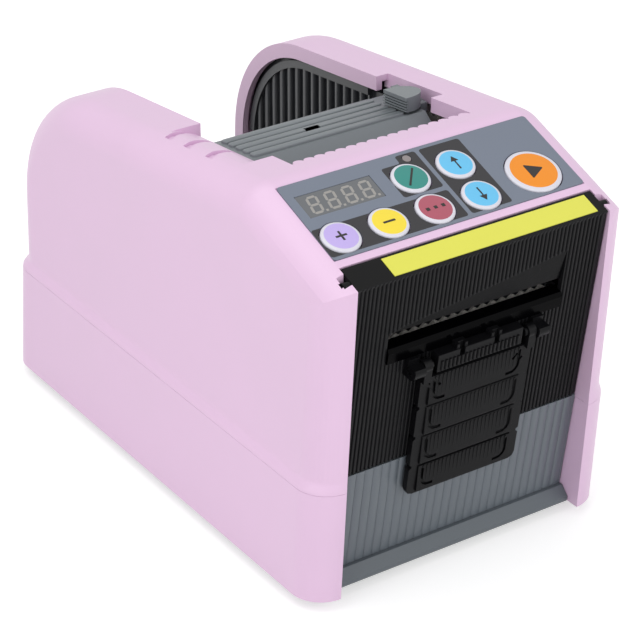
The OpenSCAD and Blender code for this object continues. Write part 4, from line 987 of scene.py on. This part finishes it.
def front_cover():
    """Hinged cover: fine upright ribs down its face, a polished roof, pins, and the tray's lugs."""
    body = block("cover_plate", (-COVER_HALF, COVER_HALF), (-COVER_LEN, 0), (-2.4, -0.5), face)
    roof = [(COVER_Y + 0.25, COVER_TOP - 0.5), (COVER_Y + 0.1, COVER_TOP - 0.12),
            (COVER_Y + 0.3, COVER_TOP + 0.08), (LABEL_EDGE, LABEL_TOP),
            (LABEL_EDGE + 0.4, LABEL_TOP - 1.7), (COVER_Y + 1.6, COVER_TOP - 3.2)]
    combine(body, along_x("roof", -COVER_HALF, COVER_HALF, roof), "UNION")
    flange = [(cover_face(COVER_TOP - 1) + 0.4, COVER_TOP - 1), (LABEL_EDGE, LABEL_TOP),
              (LABEL_EDGE + 0.4, HINGE[1] - 3), (cover_face(COVER_BOTTOM) + 9, COVER_BOTTOM + 3),
              (cover_face(COVER_BOTTOM) + 0.6, COVER_BOTTOM)]
    for side in (-1, 1):
        combine(body, along_x("flange", side * (COVER_HALF - 2), side * COVER_HALF, flange), "UNION")
        combine(body, bar_x("hinge_pin", HINGE[2], side * (COVER_HALF - 3), side * (HALF_FRONT + WALL),
                            HINGE[0], HINGE[1]), "UNION")
    outlet = [(x * OUTLET_HALF, face_up(z)) for x, z in OUTLET]
    combine(body, prism("outlet", outlet, THROUGH, face))
    ribs = rib_row("cover_ribs", COVER_HALF - 0.6, RIB_PITCH, RIB, (-COVER_LEN, -0.35), COVER_BLACK, face)
    wider = [(x * (OUTLET_HALF + 0.25), face_up(z) + (0.25 if z > SLOT_LOW else -0.25)) for x, z in OUTLET]
    combine(ribs, prism("outlet", wider, THROUGH, face))
    paint(ribs, COVER_BLACK)
    body = paint(soften(body, 0.25), COVER_BLACK)
    body.data.materials.append(GLOSS_BLACK)
    slope = (row((0, LABEL_EDGE, LABEL_TOP)) - row((0, COVER_Y, COVER_TOP))).normalized()
    up = slope.cross(Vector((-1, 0, 0)))
    for polygon in body.data.polygons:
        if abs(polygon.normal.dot(up)) > 0.995 and polygon.normal.z > 0:
            polygon.material_index = 1
    piece = join("ribbed_front_cover", [body, smooth(ribs, 50)] + tray_head() + tray_lugs())
    return stand_for(piece, "cover", "black_front", "front_cover")


def lower_panel():
    """Grey panel below the cover, with shallow upright grooves."""
    low, high = face_up(PANEL_FOOT), -COVER_LEN - 0.4 / cos(COVER_SLOPE)
    plate = block("panel_plate", (-COVER_HALF, COVER_HALF), (low, high), (-2.4, -0.18), face)
    for side in (-1, 1):
        combine(plate, block("panel_flange", sorted((side * (HALF_FRONT - 4), side * COVER_HALF)),
                             (low, high - 2), (-9, -2), face), "UNION")
    slat = [(-1.66, -0.6), (-1.66, -0.13), (-1.5, 0), (1.5, 0), (1.66, -0.13), (1.66, -0.6)]
    slats = rib_row("panel_slats", COVER_HALF - 0.3, SLAT_PITCH, slat, (low, high), PANEL_GREY, face)
    piece = join("grooved_lower_panel", [paint(smooth(plate), PANEL_GREY), smooth(slats, 50)])
    return stand_for(piece, "housing", "grey_panel", "front_lower_panel")


def stroke(points, width):
    """Outline of a line of even width through points."""
    left, right = [], []
    for i, p in enumerate(points):
        a = Vector(points[max(i - 1, 0)])
        b = Vector(points[min(i + 1, len(points) - 1)])
        across = (b - a).normalized()
        across = Vector((-across.y, across.x)) * width / 2
        left.append((p[0] + across.x, p[1] + across.y))
        right.append((p[0] - across.x, p[1] - across.y))
    return left + right[::-1]


def tape_tray():
    """Hinged tray: a plate with four overlapping steps, curved slots and fine ribs."""
    low = TRAY_S - TRAY_LENGTH
    notches = []
    for i in range(1, TRAY_STEPS):
        y = low + i * TRAY_STEP
        notches += [(TRAY_HALF, y - 1.6), (TRAY_HALF - 0.9, y - 0.9), (TRAY_HALF - 0.9, y - 0.1),
                    (TRAY_HALF, y + 0.4)]
    side = [(TRAY_HALF - 2.4, low), (TRAY_HALF - 0.7, low + 0.7), (TRAY_HALF, low + 2.4)] + notches
    top = TRAY_S - 4.6
    outline = side + [(TRAY_HALF, top), (-TRAY_HALF, top)] + [(-x, y) for x, y in side[::-1]]
    plate = prism("tray_plate", outline, (1, 3.3), face)
    for sign in (-1, 1):
        x0, x1 = sorted((sign * (TRAY_HALF - 3), sign * TRAY_HALF))
        combine(plate, pivot(2.4, x0, x1), "UNION")
        combine(plate, block("ear", (x0, x1), (TRAY_S - 6, TRAY_S - 0.1), (1, TRAY_N + 2.2), face), "UNION")
        x0, x1 = sorted((sign * (TRAY_HALF - 4), sign * (TRAY_HALF + 4.4)))
        combine(plate, pivot(1.5, x0, x1), "UNION")
    parts = []
    half = TRAY_HALF - 3.6
    for i in range(TRAY_STEPS):
        s0, s1 = low + (1 if i == 0 else i * TRAY_STEP), low + (i + 1) * TRAY_STEP - 0.8
        section = [(s0 + 0.2, 1.5), (s0, 3.6), (s0 + 0.5, 4.1), (s1, 3.75), (s1, 1.5)]
        panel = along_x("step", -half, half, section, face)
        rib = [(-0.5, 3.4), (-0.2, 4.02), (0.2, 4.02), (0.5, 3.4)]
        ribs = rib_row("step_ribs", half - 1.2, RIB_PITCH, rib, (s0 + 0.8, s1 - 0.3), TRAY_BLACK, face)
        for sign in (-1, 1):
            curve = [(sign * (half - 1.6), s1 - 1.2), (sign * (half - 1.7), s0 + 6.4)]
            curve += [(sign * (half - 4.9 + 3.2 * cos(a)), s0 + 5.2 - 3.2 * sin(a)) for a in range(0, 90, 15)]
            curve.append((sign * (half - 6.6), s0 + 2.0))
            slots = [stroke(curve, 1.15)]
            if i == TRAY_STEPS - 1:
                # two short slanted slots in the step next to the hinge
                for k in (0, 1):
                    a = (sign * (half - 4.4 + 2.2 * k), s1 - 4.4 - 1.8 * k)
                    slots.append(stroke([a, (a[0] + sign * 2.9, a[1] + 3.0)], 0.9))
            for slot in slots:
                for target in (panel, ribs):
                    combine(target, prism("slot", slot, (3.2, 9), face))
        paint(ribs, TRAY_BLACK)
        parts += [paint(soften(panel, 0.18, 1), TRAY_BLACK), smooth(ribs, 50)]
    piece = join("stepped_tape_tray", [paint(soften(plate, 0.35), TRAY_BLACK)] + parts)
    return stand_for(piece, "tray", "black_front", "tape_tray")


# ---------------------------------------------------------------- tape bay and latch
REEL = ((LID_REAR + REAR_Y) / 2 - 2.5, 66.0)       # Y and Z of the reel's axle
AXLE_WAY = 4.3                      # half width of the liners' slot for it


def liner(side, name, node):
    """Side wall of the tape bay, with round upright ribs inside a raised rim."""
    def trimmed(obj):
        """Cuts off what lies in front of the liner."""
        return combine(obj, block("cut", WIDE, (0, LINER_START), (-10, ABOVE)))

    def slab(x0, x1, d):
        """Side plate, inset by d from the housing's outline."""
        return trimmed(along_x(name, side * x0, side * x1, side_points(d, 3.5)))

    wall = slab(LINER_X[0], LINER_X[1], WALL + 1.3)
    front = along_x("front", side * LINER_X[0], side * LINER_X[1], side_points(LIP + WALL + 0.5, 3.5))
    combine(front, block("reach", WIDE, (LID_REAR + 2, LID_REAR + 20), (-10, ABOVE)), "INTERSECT")
    combine(wall, front, "UNION")
    rim = slab(LINER_X[0] - LINER_RIB, LINER_X[0] + 0.05, LIP + 1.5)
    combine(rim, along_x("inside", *WIDE, side_points(LIP + 4.4, 0)))
    combine(rim, block("below", WIDE, (0, BEYOND), (-10, 32)))
    combine(wall, rim, "UNION")
    x, y = side * LINER_X[0], LID_REAR + 9.3
    section = [(x - side * 1.5 * cos(a) ** 0.5, y + 1.6 * sin(a)) for a in range(-90, 91, 15)]
    section += [(x + side * 0.3, y + 1.6), (x + side * 0.3, y - 1.6)]
    count = int((BODY_LENGTH - LID_REAR - 12) / LINER_PITCH)
    ribs = repeat("liner_ribs", prism("rib", section, (30, 140)), count, (0, LINER_PITCH, 0), LINER_GREY)
    combine(ribs, trimmed(along_x("inside", 0, side * HALF_BODY, side_points(LIP + 3.4, 3.5))), "INTERSECT")
    combine(wall, ribs, "UNION")
    slot = bar_x("axle", AXLE_WAY, *WIDE, *REEL)
    way_out = turned(box_outline((0, 70), (-AXLE_WAY, AXLE_WAY)), 8, REEL)
    combine(slot, along_x("way_out", *WIDE, way_out), "UNION")
    combine(wall, slot)
    return stand_for(paint(soften(wall, 0.45), LINER_GREY), "housing", "liner", node)


LATCH_X = HALF_BAY + 2.3            # latch's pin: X, both ends and height
LATCH_Y = (FEED_Y - 0.6, FEED_Y + 9.2)
LATCH_Z = lid_z(FEED_Y + 4) - 8


def latch():
    """Thumb latch: a half-round pad over a stack of grip ribs, on a knuckle round its pin."""
    mid = FEED_Y - 5.2
    low, high = lid_z(mid) + 1.0, lid_z(mid) + 6.6
    flat, reach, half = 28.6, 9.4, 6.8

    def pad(grow, z0, z1):
        """Slice of the pad, its flat side moved towards the bay."""
        edge = [(flat - grow, mid - half), (flat - grow, mid + half)]
        edge += [(flat + 1.2 + (reach - 1.6) * cos(a), mid + half * sin(a)) for a in range(80, -81, -10)]
        return loft("pad", [[(x, y, z + (mid - y) * tan(TOP_FALL)) for x, y in edge] for z in (z0, z1)])

    body = pad(0, low, high)
    body.name = "ribbed_thumb_latch"
    for i in range(5):
        combine(body, pad(0.75, low + 0.3 + i * 1.0, low + 0.78 + i * 1.0), "UNION")
    combine(body, pad(0.75, high - 0.9, high), "UNION")
    combine(body, block("stem", (36.4, 39.3), (mid - 1, LATCH_Y[1]), (LATCH_Z - 1, low + 1.2)), "UNION")
    combine(body, block("toe", (36.45, 39.3), (FEED_Y - 8.7, mid), (low - 8, low + 1)), "UNION")
    combine(body, bar_y("knuckle", 2.5, LATCH_X, LATCH_Y, LATCH_Z), "UNION")
    combine(body, bar_y("bore", 1.25, LATCH_X, (60, 130), LATCH_Z, 24))
    return stand_for(paint(soften(body, 0.22), COVER_GREY), "latch", "grey_light", "thumb_latch")


def cover_apron():
    """Low front shelf of the top cover, reaching under the scalloped edge."""
    foot = lid_z(FEED_Y - 12) - 6.52
    apron = block("cover_apron", (-HALF_BAY + 0.4, HALF_BAY - 0.4), (SCALLOP_Y + 2.8, SCALLOP_Y + 9.3),
                  (foot - 2, foot))
    return stand_for(smooth(paint(apron, COVER_GREY)), "lid", "grey_light")


def top_lands():
    """Wide flat ridges of the top cover, round at both ends, with the sight slot through them."""
    y = FEED_Y - 9
    edge = rounded(box_outline((-34, 28.5), (y - 1.75, y + 1.75)), 1.2, 4)
    pitch = 4.5
    land = loft("land", [[(x, q, lid_z(q) + h) for x, q in edge] for h in (-0.6, 0.62)]
                + [[(x * 0.994, y + (q - y) * 0.86, lid_z(q) + 0.86) for x, q in edge]])
    lands = repeat("cover_lands", land, 5, (0, pitch, -pitch * tan(TOP_FALL)), COVER_GREY)
    combine(lands, block("sight_slot", (-7, -1), (FEED_Y - 1.8, FEED_Y + 0.2), (100, 150)))
    return stand_for(smooth(paint(lands, COVER_GREY), 50), "lid", "grey_light")


upper_shell()
lower_shell()
top_lands()
cover_apron()
front_cover()
lower_panel()
tape_tray()
liner(-1, "left_bay_wall", "left_liner")
liner(1, "right_bay_wall", "right_liner")
latch()
overlay()
for item in KEY_AT:
    key(*item)
display()

# ---------------------------------------------------------------- stage, light and camera
def seen_rays(tree):
    """1 for what the camera sees directly, in a reflection or through glass."""
    rays = add(tree, "ShaderNodeLightPath").outputs
    direct = add(tree, "ShaderNodeMath", {"operation": "MAXIMUM"}, i0=rays["Is Camera Ray"],
                 i1=rays["Is Glossy Ray"])
    return add(tree, "ShaderNodeMath", {"operation": "MAXIMUM"}, i0=direct.outputs[0],
               i1=rays["Is Transmission Ray"]).outputs[0]


def stage():
    """Pale table top, with a glow only for the rays that seen_rays picks."""
    span = (-3.0, 3.0)
    floor = mesh_object("floor", [(x, y, 0) for x, y in box_outline(span, span)], [(0, 1, 2, 3)], Vector)
    mat, tree, shader, place = new_material("pale_table_top")
    shader.inputs["Base Color"].default_value = linear("#E2E2E2")
    shader.inputs["Roughness"].default_value = 0.9
    glow = add(tree, "ShaderNodeEmission", {"Color": (1, 1, 1, 1), "Strength": 0.5})
    both = add(tree, "ShaderNodeAddShader", None, i0=shader.outputs[0], i1=glow.outputs[0])
    mix = add(tree, "ShaderNodeMixShader", None, i0=seen_rays(tree), i1=shader.outputs[0], i2=both.outputs[0])
    out = next(n for n in tree.nodes if n.type == "OUTPUT_MATERIAL")
    tree.links.new(mix.outputs[0], out.inputs["Surface"])
    paint(floor, mat)


def lamp(name, place, aim, size, watts):
    """White soft box, sized in metres and turned towards a point."""
    data = bpy.data.lights.new(name, "AREA")
    data.shape = "RECTANGLE"
    data.size, data.size_y = size
    data.energy = watts
    obj = new_object(name, data)
    obj.location = place
    obj.rotation_euler = (Vector(aim) - Vector(place)).to_track_quat("-Z", "Y").to_euler()


def light():
    """White room that looks brighter than it lights, and soft boxes above, left and in front."""
    world = bpy.data.worlds.new("studio")
    world.use_nodes = True
    tree = world.node_tree
    tree.nodes["Background"].inputs["Color"].default_value = (1, 1, 1, 1)
    tree.nodes["Background"].inputs["Strength"].default_value = 0.5
    bright = add(tree, "ShaderNodeBackground", {"Color": (1, 1, 1, 1), "Strength": 1.0})
    mix = add(tree, "ShaderNodeMixShader", None, i0=seen_rays(tree), i1=tree.nodes["Background"].outputs[0],
              i2=bright.outputs[0])
    tree.links.new(mix.outputs[0], tree.nodes["World Output"].inputs["Surface"])
    bpy.context.scene.world = world
    lamp("top_box", (-0.25, 0.1, 0.95), (0, 0, 0.08), (0.9, 0.9), 3)
    lamp("left_box", (-0.95, -0.35, 0.5), (0, 0, 0.06), (0.7, 0.9), 3.1)
    lamp("front_box", (0.25, -1.0, 0.45), (0, 0, 0.06), (1.3, 0.9), 4.4)


def camera():
    """Long lens from above the left front corner."""
    place = (-462.22, -588.38, 504.68)
    yaw, pitch, roll = (math.radians(a) for a in (34.032, 28.760, -0.044))
    data = bpy.data.cameras.new("view")
    data.sensor_width = 36.0
    data.lens = 147.65
    data.clip_end = 10
    obj = new_object("view", data)
    ahead = Vector((math.sin(yaw) * math.cos(pitch), math.cos(yaw) * math.cos(pitch), -math.sin(pitch)))
    right = Vector((math.cos(yaw), -math.sin(yaw), 0))
    turn = Matrix((right, right.cross(ahead), -ahead)).transposed()
    obj.matrix_world = Matrix.Translation(row(place)) @ turn.to_4x4() @ Matrix.Rotation(roll, 4, "Z")
    bpy.context.scene.camera = obj


stage()
light()
camera()
bpy.context.scene.view_settings.view_transform = "Standard"
